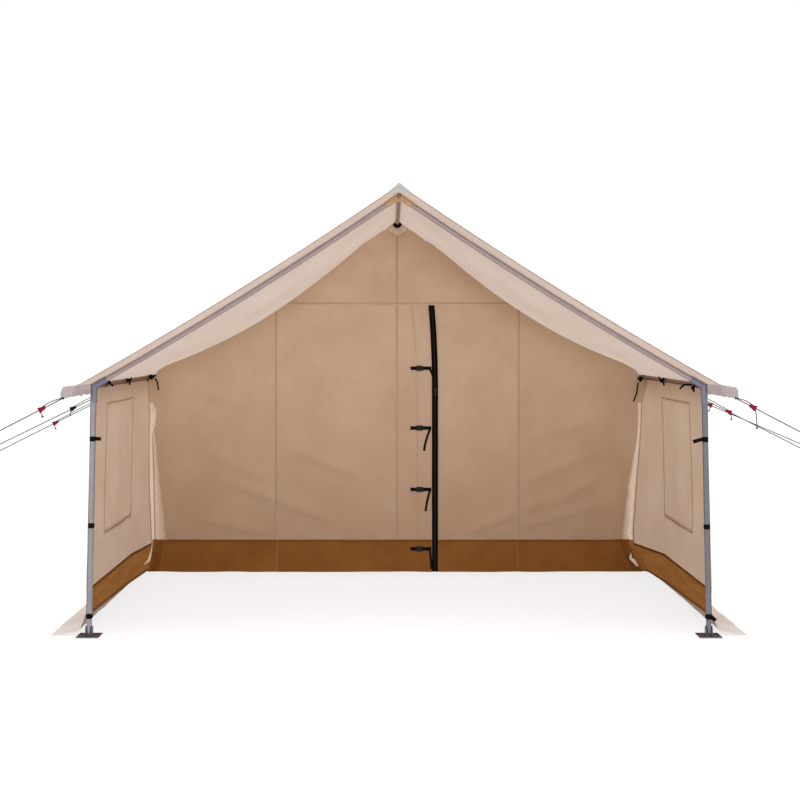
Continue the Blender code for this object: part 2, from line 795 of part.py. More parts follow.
def build_side_walls():
    """Porch walls with a window and a sewn band; room walls in one with their band."""
    first = PORCH_WALL_Y.index(FRONT_Y + WINDOW_NEAR)
    low = WALL_LEVELS.index(WINDOW_LOW)
    hole = {(i, j) for i in range(low, low + 3) for j in range(first, first + 3)}
    for side_name, side in SIDE_NAMES:
        rows = [[side_point(side, y, z) for y in PORCH_WALL_Y] for z in WALL_LEVELS]
        offset = (side * CANVAS, 0.0, 0.0)
        add_object(f"porch_wall_{side_name}", sheet(bmesh.new(), rows, offset, hole), "wall_canvas")
        rows = [hem_row(side, PORCH_WALL_Y, share) for share in (0.0, BAND_MIDDLE_SHARE, 1.0)]
        add_object(f"splash_band_{side_name}", sheet(bmesh.new(), rows, offset), "splash_band")
        rows = [hem_row(side, ROOM_WALL_Y, share) for share in (0.0, 1.0)]
        rows += [[side_point(side, y, z) for y in ROOM_WALL_Y] for z in ROOM_LEVELS]
        add_object(f"room_wall_{side_name}", sheet(bmesh.new(), rows, offset), "wall_canvas")


def build_window_flaps():
    """Outer covers of the porch windows, hinged along their top seams."""
    first = PORCH_WALL_Y.index(FRONT_Y + WINDOW_NEAR) - 1
    low = WALL_LEVELS.index(WINDOW_LOW) - 1
    ys = PORCH_WALL_Y[first:first + 6]
    levels = WALL_LEVELS[low:low + 6]
    for side_name, side in (("left", -1), ("right", 1)):
        rows = [[side_point(side, y, z, CANVAS + GAP) for y in ys] for z in levels]
        bm = sheet(bmesh.new(), rows, (side * CANVAS, 0.0, 0.0))
        seam = [side_point(side, y, levels[-1], CANVAS + GAP)[0] for y in ys]
        origin = (side * max(abs(x) for x in seam), (ys[0] + ys[-1]) / 2, levels[-1])
        add_object(f"window_flap_{side_name}", bm, "wall_canvas", origin)


def build_sod_flaps():
    """Pale cloth outside the foot of each side wall, lying out over the ground."""
    ys = (FRONT_Y, (FRONT_Y + DOOR_Y) / 2, DOOR_Y, MID_Y, (MID_Y + REAR_Y) / 2, REAR_Y + SOD_BACK)
    for side_name, side in SIDE_NAMES:
        rows = []
        for y in ys:
            z = hem_z(y) + SOD_LAP
            inner = wall_x(z) + CANVAS + GAP
            foot = HALF_WIDTH + POST_LEAN
            row = [(side * inner, y, z), (side * (foot + SOD_BEND_REACH), y, SOD_BEND_Z)]
            row.append((side * (foot + SOD_REACH), y, SOD_OUT_Z))
            rows.append(row)
        bm = sheet(bmesh.new(), rows, (0.0, 0.0, CANVAS))
        add_object(f"sod_flap_{side_name}", bm, "sod_cloth")


# Door wall

def corner_x(side, z):
    """Outer edge of the door wall, sewn to the front edge of the room's wall."""
    return side_point(side, DOOR_Y + ROOM_WALL_START, z)[0] - side * GAP


def gable_top(x):
    return roof_base(x) - ROOF_SEAT


def leaf_fold(x, z):
    """Shallow folds across the door cloth, none at its seams and under the straps."""
    edge = min(abs(x - DOOR_LEFT), abs(x - DOOR_RIGHT), abs(x - STRAP_END), abs(x))
    quiet = 0.0 if 0.0 < x < DOOR_RIGHT / 2 else min(1.0, edge / STRAP_END)
    height = math.sin(math.pi * min(1.0, max(0.0, z / DOOR_TOP)))
    return FOLD_LEAF * quiet * height * math.sin(math.pi * x / STRAP_END)


def zip_edge(z, sign):
    """X of the left (-1) or right (+1) edge of the zip band."""
    lean = max(0.0, (z - ZIP_BEND_Z) / (DOOR_TOP - ZIP_BEND_Z)) ** 2
    return ZIP_X - ZIP_LEAN * lean + sign * ZIP_WIDTH / 2


DOOR_LEVELS = row_places(DOOR_BAND_TOP, DOOR_TOP, (0.0, 0.2, 0.4, 0.6, 0.8, 1.0))


def build_door_wall():
    """Wall round the doorway, up to the roof, with a notch for the ridge pole."""
    inner = [x for x in ROOF_X if x < HALF_WIDTH]
    notch_x = HALF_WIDTH - POLE_NOTCH_IN
    notch_top = HALF_WIDTH - POLE_NOTCH_TOP
    right = sorted(inner[1:] + [NOTCH_HALF, notch_top, notch_x])
    xs = [-x for x in reversed(right)] + [0.0] + right
    xs = sorted(set(xs + [DOOR_LEFT, DOOR_RIGHT]))
    levels = [DOOR_BOTTOM] + DOOR_LEVELS

    def top_of(x):
        if abs(x) >= notch_x:
            return EAVE_Z - POLE_NOTCH
        if abs(x) < NOTCH_HALF / 2:
            return RIDGE_Z - NOTCH_DROP
        return gable_top(x)

    rows = []
    for level in levels:
        row = [(corner_x(-1, min(level, EAVE_Z - POLE_NOTCH)), DOOR_Y, min(level, EAVE_Z - POLE_NOTCH))]
        row += [(x, DOOR_Y, min(level, top_of(x))) for x in xs]
        row.append((corner_x(1, min(level, EAVE_Z - POLE_NOTCH)), DOOR_Y, min(level, EAVE_Z - POLE_NOTCH)))
        rows.append(row)
    for share in (0.5, 1.0):
        row = [rows[-1][0]] if share < 1 else [rows[len(levels) - 1][0]]
        for x in xs:
            top = top_of(x)
            start = min(DOOR_TOP, top)
            row.append((x, DOOR_Y, start + share * (top - start)))
        row.append(rows[len(levels) - 1][-1])
        rows.append(row)
    doorway = set()
    for j in range(1, len(xs)):
        if xs[j - 1] >= DOOR_LEFT - GAP and xs[j] <= DOOR_RIGHT + GAP:
            doorway |= {(i, j) for i in range(len(levels) - 1)}
    add_object("door_wall", sheet(bmesh.new(), rows, (0.0, CANVAS, 0.0), doorway), "door_canvas")


LEAF_SHARES = (0.0, 0.12, 0.25, 0.38, 0.50, 0.62, 0.75, 0.88, 1.0)


def build_door_leaves():
    """The two door cloths, each turning on its outer seam, and the zip band between."""
    levels = [DOOR_BOTTOM] + DOOR_LEVELS[:-1] + [DOOR_TOP - GAP]
    for name, side in SIDE_NAMES:
        seam = DOOR_LEFT if side < 0 else DOOR_RIGHT
        rows = []
        for z in levels:
            free = zip_edge(z, side) + side * GAP
            row = []
            for across in LEAF_SHARES:
                x = seam - side * GAP + (free - seam + side * GAP) * across
                row.append((x, DOOR_Y - leaf_fold(x, z), z))
            rows.append(row)
        bm = sheet(bmesh.new(), rows, (0.0, CANVAS, 0.0))
        add_object(f"door_leaf_{name}", bm, "door_canvas", (seam, DOOR_Y, DOOR_BOTTOM))
    rows = [[(zip_edge(z, sign), DOOR_Y - ZIP_PROUD, z) for sign in (-1, 1)] for z in levels]
    bm = sheet(bmesh.new(), rows, (0.0, CANVAS + ZIP_PROUD + ZIP_PROUD, 0.0))
    add_object("door_zip_band", bm, "black_webbing", (DOOR_RIGHT, DOOR_Y, DOOR_BOTTOM))


def build_zip_slider():
    """Slider body with a tapered nose and its pull tab."""
    back = DOOR_Y - ZIP_PROUD - GAP
    half = SLIDER_W / 2
    top = SLIDER_Z + SLIDER_H / 2
    low = SLIDER_Z - SLIDER_H / 2
    outline = [
        (SLIDER_X - half, back, top),
        (SLIDER_X + half, back, top),
        (SLIDER_X + half, back, SLIDER_Z),
        (SLIDER_X + half / 2, back, low),
        (SLIDER_X - half / 2, back, low),
        (SLIDER_X - half, back, SLIDER_Z),
    ]
    bm = prism(bmesh.new(), outline, (0.0, -SLIDER_T, 0.0))
    face = back - SLIDER_T
    tab = box(
        bmesh.new(),
        (SLIDER_X - TAB_W / 2, face - TAB_T, SLIDER_Z - TAB_H),
        (SLIDER_X + TAB_W / 2, face + TAB_T, SLIDER_Z + half / 2),
    )
    bm = combine(bm, tab, "UNION")
    add_object("zip_slider", bm, "zip_metal", (SLIDER_X, DOOR_Y, SLIDER_Z))


def build_straps():
    """Strap with its buckle housing on the left cloth, and a tongue that slides out."""
    front = DOOR_Y - GAP
    mouth = HOUSING_X + HOUSING_L
    centre_y = front - HOUSING_T / 2
    step = DOOR_Y - WEB_STEP
    for index, z in enumerate(STRAP_Z):
        low = (HOUSING_X, front - HOUSING_T, z - HOUSING_H / 2)
        shell = box(bmesh.new(), low, (mouth, front, z + HOUSING_H / 2))
        rear = [e for e in shell.edges if all(v.co.x < HOUSING_X + GAP for v in e.verts)]
        bmesh.ops.bevel(shell, geom=rear, offset=HOUSING_BEVEL, segments=2, affect="EDGES")
        web = box(
            bmesh.new(),
            (STRAP_START, front - WEB_T - HOUSING_WALL / 2, z - WEB_H / 2),
            (HOUSING_X + WEB_LAP, front - HOUSING_WALL / 2, z + WEB_H / 2),
        )
        shell = combine(shell, web, "UNION")
        inset = HOUSING_H / 2 - HOUSING_WALL
        low = (mouth - PRONG_L - PRONG_W, front - HOUSING_T + HOUSING_WALL, z - inset)
        cavity = box(bmesh.new(), low, (mouth + OVERRUN, front - HOUSING_WALL, z + inset))
        shell = combine(shell, cavity, "DIFFERENCE")
        add_object(f"door_strap_{index + 1}", shell, "black_plastic", (mouth, DOOR_Y, z))
        outline = fork_outline(mouth + GAP, z, centre_y + TONGUE_T / 2)
        tongue = prism(bmesh.new(), outline, (0.0, -TONGUE_T, 0.0))
        start = mouth + GAP + TONGUE_L - WEB_LAP
        web = box(bmesh.new(), (start, step - WEB_T, z - WEB_H / 2), (STRAP_END, step, z + WEB_H / 2))
        tongue = combine(tongue, web, "UNION")
        top = z - WEB_H / 2 + WEB_LAP
        drop = z - WEB_H / 2 - TAIL_LENGTH[index]
        sway = TAIL_SWAY[index]
        tail = [
            (STRAP_END - TAIL_W, step, top),
            (STRAP_END, step, top),
            (STRAP_END - sway, step, drop),
            (STRAP_END - TAIL_W - sway, step, drop),
        ]
        tongue = combine(tongue, prism(bmesh.new(), tail, (0.0, -WEB_T, 0.0)), "UNION")
        add_object(f"buckle_tongue_{index + 1}", tongue, "black_plastic", (mouth, DOOR_Y, z))


def fork_outline(x, z, y):
    """Head and two prongs of a side-release tongue, prongs towards -X."""
    half = HOUSING_H / 2
    outline = [(x, z - half), (x + TONGUE_L, z - half), (x + TONGUE_L, z + half), (x, z + half)]
    for sign in (1, -1):
        outer = z + sign * (PRONG_AT + PRONG_W / 2)
        inner = z + sign * (PRONG_AT - PRONG_W / 2)
        pair = [(x, outer), (x - PRONG_L, outer), (x - PRONG_L, inner), (x, inner)]
        outline += pair if sign > 0 else list(reversed(pair))
    return [(px, y, pz) for px, pz in outline]


def build_rear_wall():
    """Closed gable behind the rear truss, folded by its own weight, with its band."""
    y0 = WALL_END_Y + GAP
    inner = [x for x in ROOF_X if x <= HALF_WIDTH]
    xs = [-x for x in reversed(inner[1:])] + inner
    tops = [gable_top(x) for x in xs]

    def fold(x, z):
        share = (x + HALF_WIDTH) / (2 * HALF_WIDTH)
        return FOLD_REAR * math.sin(math.pi * REAR_FOLDS * share) ** 2 * math.sin(math.pi * z / RIDGE_Z)

    rows = []
    for share in (0.0, 0.12, 0.35, 0.58, 0.8, 1.0):
        row = []
        for x, top in [(None, WALL_TOP)] + list(zip(xs, tops)) + [(None, WALL_TOP)]:
            z = HEM_ROOM + (top - HEM_ROOM) * share
            if x is None:
                sign = -1 if not row else 1
                row.append((sign * (wall_x(z) + CANVAS), y0, z))
            else:
                lift = 0.0 if share in (0.0, 1.0) else fold(x, z)
                row.append((x, y0 + lift, z))
        rows.append(row)
    add_object("rear_wall", sheet(bmesh.new(), rows, (0.0, CANVAS, 0.0)), "wall_canvas")


# Guy ropes

def rope_line(side, index):
    """Start, end and direction of one guy rope."""
    reach = (ROPE_REACH_LEFT if side < 0 else ROPE_REACH_RIGHT)[index]
    drop = (ROPE_DROP_LEFT if side < 0 else ROPE_DROP_RIGHT)[index]
    y = FRONT_Y + ROPE_Y[index]
    start = Vector((side * (STRIP_X + GAP + KNOT_R), y, STRIP_Z + CANVAS / 2))
    end = start + Vector((side * reach, 0.0, -drop))
    return start, end, (end - start).normalized()


def with_knot(bm, centre):
    """Join a knot to a rope, its flat ends facing along X."""
    half = Vector((KNOT_R, 0.0, 0.0))
    return combine(bm, rod(bmesh.new(), [centre - half, centre + half], KNOT_R, ALONG_Y, 8), "UNION")


def build_guy_ropes():
    """Three ropes a side, each with a knot at both ends and a tensioner that slides."""
    for side_name, side in SIDE_NAMES:
        places = TENSIONER_AT_LEFT if side < 0 else TENSIONER_AT_RIGHT
        for index, label in enumerate(("front", "middle", "back")):
            start, end, along = rope_line(side, index)
            bm = rod(bmesh.new(), [start, end], ROPE_R, ALONG_Y, 6)
            bm = with_knot(with_knot(bm, start), end)
            add_object(f"guy_rope_{label}_{side_name}", bm, "guy_rope")
            centre = start + along * places[index]
            colour = "dark_anodised" if (side < 0 and index == 1) else "red_anodised"
            body = make_tensioner(centre, along)
            add_object(f"tensioner_{label}_{side_name}", body, colour, centre)


def make_tensioner(centre, along):
    """Rounded wedge round a rope, bored for it along its length."""
    across = Vector(ALONG_Y).cross(along)
    half = Vector((0.0, TENSIONER_T / 2, 0.0))
    near = centre - along * TENSIONER_L / 2
    far = centre + along * TENSIONER_L / 2
    outline = [
        near + across * TENSIONER_NOSE / 2 - half,
        far + across * TENSIONER_H / 2 - half,
        far - across * TENSIONER_H / 2 - half,
        near - across * TENSIONER_NOSE / 2 - half,
    ]
    body = prism(bmesh.new(), outline, half * 2)
    bore = rod(bmesh.new(), [near - along * OVERRUN, far + along * OVERRUN], ROPE_R + GAP, ALONG_Y, 6)
    return combine(body, bore, "DIFFERENCE")


def main():
    clear_scene()
    build_frame()
    build_feet()
    build_roof()
    build_side_walls()
    build_window_flaps()
    build_sod_flaps()
    build_door_wall()
    build_door_leaves()
    build_rear_wall()
    build_zip_slider()
    build_straps()
    build_guy_ropes()


main()
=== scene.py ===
# %% [markdown]
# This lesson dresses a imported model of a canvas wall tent: an open porch in front, a closed
# room behind, and a frame of aluminium tubes inside. The tubes, fittings and feet are already
# the right solids, so they only need metals. The cloth, ropes, straps and zip are soft, so
# each gets a surface of its own that lies where its plain solid lies.

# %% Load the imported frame
import math
from functools import partial

import bmesh
import bpy
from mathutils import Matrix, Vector, noise


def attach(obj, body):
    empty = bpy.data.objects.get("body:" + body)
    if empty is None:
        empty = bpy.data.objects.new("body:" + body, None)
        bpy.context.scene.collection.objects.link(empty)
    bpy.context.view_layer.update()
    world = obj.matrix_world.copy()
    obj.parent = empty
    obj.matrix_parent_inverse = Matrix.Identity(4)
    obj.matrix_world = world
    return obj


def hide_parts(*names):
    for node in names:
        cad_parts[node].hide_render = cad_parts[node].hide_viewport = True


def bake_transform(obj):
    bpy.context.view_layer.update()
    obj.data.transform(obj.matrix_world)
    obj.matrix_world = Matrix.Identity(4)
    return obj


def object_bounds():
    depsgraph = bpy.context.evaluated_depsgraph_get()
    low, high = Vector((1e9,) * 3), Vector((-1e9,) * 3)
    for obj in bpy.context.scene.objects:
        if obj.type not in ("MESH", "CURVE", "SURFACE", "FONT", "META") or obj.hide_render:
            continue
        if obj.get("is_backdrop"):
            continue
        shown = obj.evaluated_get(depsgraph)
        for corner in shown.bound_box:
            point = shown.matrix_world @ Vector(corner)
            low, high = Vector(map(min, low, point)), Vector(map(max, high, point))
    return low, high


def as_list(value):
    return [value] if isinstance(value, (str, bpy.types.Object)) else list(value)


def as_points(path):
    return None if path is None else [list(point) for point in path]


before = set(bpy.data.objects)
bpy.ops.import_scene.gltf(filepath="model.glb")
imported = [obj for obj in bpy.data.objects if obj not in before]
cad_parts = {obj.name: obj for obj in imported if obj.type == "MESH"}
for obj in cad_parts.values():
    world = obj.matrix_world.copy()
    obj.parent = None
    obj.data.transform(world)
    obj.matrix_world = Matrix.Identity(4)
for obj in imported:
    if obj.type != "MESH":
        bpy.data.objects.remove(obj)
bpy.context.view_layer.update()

# %% [markdown]
# The tent's sizes decide where every seam and fold goes. They are the same numbers that the
# frame was built from, in metres: X = 0 is the ridge, Z = 0 the ground, and the porch opens
# towards -Y. Named once here, they keep the cloth on the tubes that carry it.

# %% Sizes of the tent
HALF_WIDTH, EAVE_Z, RIDGE_Z, RAFTER_BOW = 1.83, 1.50, 2.64, 0.027
POST_LEAN, POST_FOOT_Z = 0.029, 0.020
FRONT_Y, DOOR_Y, MID_Y, REAR_Y = -2.347, -0.517, 0.093, 2.533
ROOF_FRONT, ROOF_REAR = -2.683, 2.683
SLEEVE_R, TUBE_R, CANVAS = 0.019, 0.016, 0.003
EDGE_REACH, EDGE_DROP = 0.045, 0.0185
STRIP_REACH, STRIP_DROP = 0.054, 0.065
BAND_TOP, DOOR_BAND_TOP = 0.270, 0.288
DOOR_LEFT, DOOR_RIGHT, DOOR_BOTTOM, DOOR_TOP = -0.895, 0.898, 0.048, 2.035
MM = 0.001
SIDES = (("left", -1), ("right", 1))
print("eave to eave", 2 * HALF_WIDTH, "m, ridge at", RIDGE_Z, "m")

# %% [markdown]
# The camera stands 7.6 m in front of the porch at eye height, level, so that upright posts
# stay upright in the picture. The horizon lies above the middle of the frame, which a small
# lens shift gives without tilting the camera. It is made first, because the ropes run out of
# its view and have to end just outside it.

# %% Camera
CAMERA_X, CAMERA_BACK, CAMERA_Z = -0.054, 7.6, 1.776
bpy.ops.object.camera_add(location=(CAMERA_X, FRONT_Y - CAMERA_BACK, CAMERA_Z),
                          rotation=(math.radians(90), 0, 0))
camera = bpy.context.object
camera.name = "Porch camera"
camera.data.sensor_width = 36.0
camera.data.lens = 57.0
camera.data.shift_x = 0.0125
camera.data.shift_y = -0.075
bpy.context.scene.camera = camera
bpy.context.scene.view_settings.view_transform = "Standard"
print("camera at", [round(v, 3) for v in camera.location])

# %% [markdown]
# Every material here is made of nodes. One function turns a hex colour, as a paint chart
# gives it, into the linear values that light works in. Another adds a node, sets its values
# and makes its links. Each material is then a short recipe that ends in a surface.

# %% Colour and node helpers
def linear(code):
    """Linear RGBA of an sRGB hex colour."""
    parts = [int(code[k:k + 2], 16) / 255 for k in (1, 3, 5)]
    made = [c / 12.92 if c <= 0.04045 else ((c + 0.055) / 1.055) ** 2.4 for c in parts]
    return (*made, 1.0)


def add_node(tree, kind, inputs, **settings):
    """Add a node; inputs maps a socket to a value, a socket, or a node's first output."""
    made = tree.nodes.new("ShaderNode" + kind)
    for key, value in settings.items():
        setattr(made, key, value)
    for key, value in inputs.items():
        if isinstance(value, bpy.types.Node):
            value = value.outputs[0]
        if isinstance(value, bpy.types.NodeSocket):
            tree.links.new(value, made.inputs[key])
        else:
            made.inputs[key].default_value = value
    return made


def material(name, recipe, *values, **settings):
    """A material whose surface comes from a recipe of nodes."""
    made = bpy.data.materials.new(name)
    made.use_nodes = True
    made.node_tree.nodes.clear()
    add = partial(add_node, made.node_tree)
    add("OutputMaterial", {"Surface": recipe(add, *values, **settings)})
    return made


def lengths(millimetres):
    """Pattern scale whose repeat is that many millimetres, for coordinates in metres."""
    return 1.0 / (millimetres * MM)


print("helpers ready, mid grey is", round(linear("#808080")[0], 3))

# %% [markdown]
# A tent like this stands on level ground in open shade. Dry soil gives some warm light back
# up under the roof. The camera sees floor and sky as white, but the tent gets only plain
# light from them, so that each colour comes out about as it is written. A fifth of the
# floor's own shading is kept, which leaves a soft shadow.

# %% Floor, sky and lamps
WHITE, PLAIN_SHARE = (1.0, 1.0, 1.0, 1.0), 0.78


def pale_ground(add):
    rays = add("LightPath", {})
    seen = add("Math", {0: rays.outputs["Is Camera Ray"], 1: rays.outputs["Is Glossy Ray"]},
               operation="MAXIMUM")
    share = add("Math", {0: seen, 1: PLAIN_SHARE}, operation="MULTIPLY")
    matt = add("BsdfDiffuse", {"Color": linear("#F4F2EF")})
    dry = add("BsdfDiffuse", {"Color": linear("#8F7B63")})
    soil = add("MixShader", {0: rays.outputs["Is Camera Ray"], 1: dry, 2: matt})
    white = add("Emission", {"Color": WHITE, "Strength": 1.0})
    return add("MixShader", {0: share, 1: soil, 2: white})


bpy.ops.mesh.primitive_plane_add(size=120.0, location=(0, 0, -0.0005))
floor = bpy.context.object
floor.name = "Ground"
floor.data.materials.append(material("Pale matt ground", pale_ground))
floor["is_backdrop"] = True

world = bpy.data.worlds.new("Open shade")
bpy.context.scene.world = world
world.use_nodes = True
world.node_tree.nodes.clear()
in_sky = partial(add_node, world.node_tree)
sky_rays = in_sky("LightPath", {})
sky_seen = in_sky("Math", {0: sky_rays.outputs["Is Camera Ray"],
                           1: sky_rays.outputs["Is Transmission Ray"]}, operation="MAXIMUM")
sky_light = in_sky("Background", {"Color": linear("#F6F8FC"), "Strength": 1.32})
sky_white = in_sky("Background", {"Color": WHITE, "Strength": 1.0})
in_sky("OutputWorld", {"Surface": in_sky("MixShader", {0: sky_seen, 1: sky_light, 2: sky_white})})


def add_lamp(name, kind, energy, place, target, colour, **settings):
    """A soft lamp that looks at a point."""
    lamp = bpy.data.lights.new(name, kind)
    lamp.energy = energy
    lamp.color = linear(colour)[:3]
    for key, value in settings.items():
        setattr(lamp, key, value)
    made = bpy.data.objects.new(name, lamp)
    bpy.context.scene.collection.objects.link(made)
    made.location = place
    made.visible_glossy = False
    made.rotation_mode = "QUATERNION"
    made.rotation_quaternion = (Vector(place) - Vector(target)).to_track_quat("Z", "Y")


add_lamp("High soft sun", "SUN", 1.35, (-0.5, -4.0, 12.0), (0, 0, 0), "#FFF6EA",
         angle=math.radians(25))
add_lamp("Front fill", "AREA", 18.5, (0.6, -10.8, 2.3), (-0.35, -0.5, 1.50), "#FBF8FF",
         shape="SQUARE", size=2.5, spread=math.radians(40))
print("lamps and sky ready")

# %% [markdown]
# Cotton canvas is a plain weave: one thread over, one under, in both directions. Up close
# that gives a fine grid of bumps, and from a few metres only a soft, slightly cloudy tone
# remains. It is also thin enough for daylight to glow through, which is why the inside of a
# pale tent is bright. So its shader mixes a matt coat with a Translucent one of the same
# colour. The thread pattern reads a UV map in metres that each cloth carries, so that the
# weave follows the cloth round its folds. Real threads are about half a millimetre apart,
# too fine to show, so they are drawn at three times that.

# %% Canvas materials
THREAD_MM, CLOUD_MM, STREAK_MM = 1.5, 380.0, 45.0
# Painted shade: the brown that the walls turn towards their foot, where less light reaches.
FOOT_SHADE_BROWN = linear("#A87E58")


def woven(add, light, dark, glow, bump=0.25, damp=0.0, fades=None):
    """Plain-woven cloth between two tones; glow is the share of light that comes through, and the
    share after it paints shade: brown mixed in towards the cloth's foot, where less light
    reaches. A fading cloth turns into another colour between two places along its width in metres."""
    where = add("UVMap", {}, uv_map="Cut")
    cloud = add("TexNoise", {"Vector": where, "Scale": lengths(CLOUD_MM), "Detail": 4.0,
                             "Roughness": 0.6})
    stretch = add("Mapping", {"Vector": where, "Scale": (1.0, 0.35, 1.0)})
    streak = add("TexNoise", {"Vector": stretch, "Scale": lengths(STREAK_MM), "Detail": 2.0})
    both = add("Math", {0: streak, 1: 0.12, 2: cloud}, operation="MULTIPLY_ADD")
    tone = add("MapRange", {"Value": both, "From Min": 0.36, "From Max": 0.76})
    colour = add("Mix", {0: tone, 6: linear(dark), 7: linear(light)}, data_type="RGBA")
    weft, warp = [add("TexWave", {"Vector": where, "Scale": lengths(THREAD_MM) / math.tau},
                      bands_direction=way).outputs["Fac"] for way in "XY"]
    weave = add("Math", {0: weft, 1: warp}, operation="MULTIPLY")
    relief = add("Bump", {"Height": weave, "Strength": bump, "Distance": 0.4 * MM})
    place = add("TexCoord", {})
    height = add("SeparateXYZ", {0: place.outputs["Object"]})
    low = add("MapRange", {"Value": height.outputs["Z"], "From Min": 0.2, "From Max": 1.5,
                           "To Min": damp, "To Max": 0.0})
    colour = add("Mix", {0: low, 6: colour.outputs[2], 7: FOOT_SHADE_BROWN}, data_type="RGBA")
    if fades:
        far_colour, start, end = fades
        along = add("SeparateXYZ", {0: where})
        worn = add("MapRange", {"Value": along.outputs["X"], "From Min": start, "From Max": end})
        colour = add("Mix", {0: worn, 6: colour.outputs[2], 7: linear(far_colour)},
                     data_type="RGBA")
    matt = add("BsdfPrincipled", {"Base Color": colour.outputs[2], "Roughness": 0.95,
                                  "Specular IOR Level": 0.1, "Sheen Weight": 0.04,
                                  "Normal": relief})
    through = add("BsdfTranslucent", {"Color": colour.outputs[2]})
    return add("MixShader", {0: glow, 1: matt, 2: through})


roof_canvas = material("Cotton canvas of the roof", woven, "#EBDED7", "#DFD0C7", 0.46)
# The side walls and the door wall get painted shade, darker and browner towards their foot.
wall_canvas = material("Cotton canvas of the walls", woven, "#F1DFCE", "#E4CFBC", 0.45, damp=0.24)
# The door wall wears a darker, browner copy of the same canvas: painted shade for its place deep in the
# porch.
door_canvas = material("Cotton canvas of the door wall with painted shade", woven, "#DDC9B1", "#D1B99F", 0.26,
                       damp=0.50)
band_cloth = material("Coated polyester splash band", woven, "#AE783E", "#986533", 0.50, 0.15)
sod_cloth = material("Coated polyester sod cloth", woven, "#D9D0C9", "#C8BEB7", 0.15, 0.15)
strip_cloth = material("White coated eave strip", woven, "#F6F4F8", "#E6E3E8", 0.58, 0.1)
# Painted light: very pale, strongly translucent cloth that paints the daylight of the corner slits.
slit_daylight_cloth = material("Pale cloth with painted slit daylight", woven, "#FFF3E6", "#F6E6D8", 0.78, 0.1)
lining_cloth = material("Pale crumpled lining cloth", woven, "#FBEDDC", "#EBD8C4", 0.08, 0.1)
# Painted light: lining paler near the corner slit, fading further in to the door wall's canvas tone.
slit_lit_lining_cloth = material("Gathered lining cloth with painted slit light", woven, "#F6E6D4", "#E8D4BE", 0.08, 0.1,
                        fades=("#CDB398", 0.022, 0.062))
patch_cloth = material("Grey coated ridge patch", woven, "#B9BCBC", "#A9ACAD", 0.15, 0.1)
print("canvas materials", roof_canvas.name, wall_canvas.name, door_canvas.name)

# %% [markdown]
# Webbing is woven too, but of thick nylon yarn, so it has ribs across its width. Thread for
# seams is a twisted polyester cord. Rope is braided, which shows as short slanting strands.
# All of these read Object coordinates, which are metres here because every finished piece
# keeps its object at the origin.

# %% Webbing, thread and rope
def ribbed(add, light, dark, pitch, way):
    """Yarn or braid with ribs that repeat at a pitch in millimetres."""
    where = add("TexCoord", {})
    ribs = add("TexWave", {"Vector": where.outputs["Object"], "Scale": lengths(pitch) / math.tau,
                           "Distortion": 1.5, "Detail": 1.0}, bands_direction=way).outputs["Fac"]
    colour = add("Mix", {0: ribs, 6: linear(dark), 7: linear(light)}, data_type="RGBA")
    relief = add("Bump", {"Height": ribs, "Strength": 0.6, "Distance": 0.5 * MM})
    return add("BsdfPrincipled", {"Base Color": colour.outputs[2], "Roughness": 0.75,
                                  "Specular IOR Level": 0.05, "Normal": relief})


webbing = material("Black nylon webbing", ribbed, "#1D1511", "#0C0807", 2.5, "X")
zip_tape = material("Black woven zip tape", ribbed, "#120F0D", "#070605", 2.0, "Z")
seam_thread = material("Tan polyester thread", ribbed, "#BC9F86", "#A1856C", 2.2, "DIAGONAL")
braid = material("Grey braided rope", ribbed, "#4A4A4C", "#242426", 4.0, "DIAGONAL")
elastic = material("Black tie cord", ribbed, "#14110F", "#070605", 3.0, "DIAGONAL")
print("yarn materials ready")

# %% [markdown]
# The tubes are drawn aluminium with a dull, slightly bluish skin. Handling leaves soft
# smudges, so the roughness varies as well as the colour. The feet are pressed steel with a
# zinc coat, whose crystals show as faint patches. The ridge fitting has the yellow of a
# chromate passivated zinc plate. Side-release buckles are moulded from acetal, a tough
# plastic with a soft satin shine and a very fine spark-eroded grain.

# %% Metals and moulded plastic
def metal(add, light, dark, rough, spread, patch, bump=0.1):
    """Metal whose colour and roughness vary in patches of a size in millimetres."""
    where = add("TexCoord", {}).outputs["Object"]
    patches = add("TexNoise", {"Vector": where, "Scale": lengths(patch), "Detail": 5.0,
                               "Roughness": 0.65})
    colour = add("Mix", {0: patches, 6: linear(dark), 7: linear(light)}, data_type="RGBA")
    dull = add("MapRange", {"Value": patches, "To Min": rough - spread, "To Max": rough + spread})
    grain = add("TexNoise", {"Vector": where, "Scale": lengths(1.2), "Detail": 2.0})
    relief = add("Bump", {"Height": grain, "Strength": bump, "Distance": 0.2 * MM})
    return add("BsdfPrincipled", {"Base Color": colour.outputs[2], "Metallic": 1.0,
                                  "Roughness": dull, "Normal": relief})


def moulded(add, code, rough):
    where = add("TexCoord", {}).outputs["Object"]
    grain = add("TexNoise", {"Vector": where, "Scale": lengths(0.8), "Detail": 1.0})
    worn = add("TexNoise", {"Vector": where, "Scale": lengths(12.0), "Detail": 3.0})
    dull = add("MapRange", {"Value": worn, "To Min": rough - 0.08, "To Max": rough + 0.08})
    relief = add("Bump", {"Height": grain, "Strength": 0.15, "Distance": 0.1 * MM})
    return add("BsdfPrincipled", {"Base Color": linear(code), "Roughness": dull,
                                  "Specular IOR Level": 0.3, "Normal": relief})


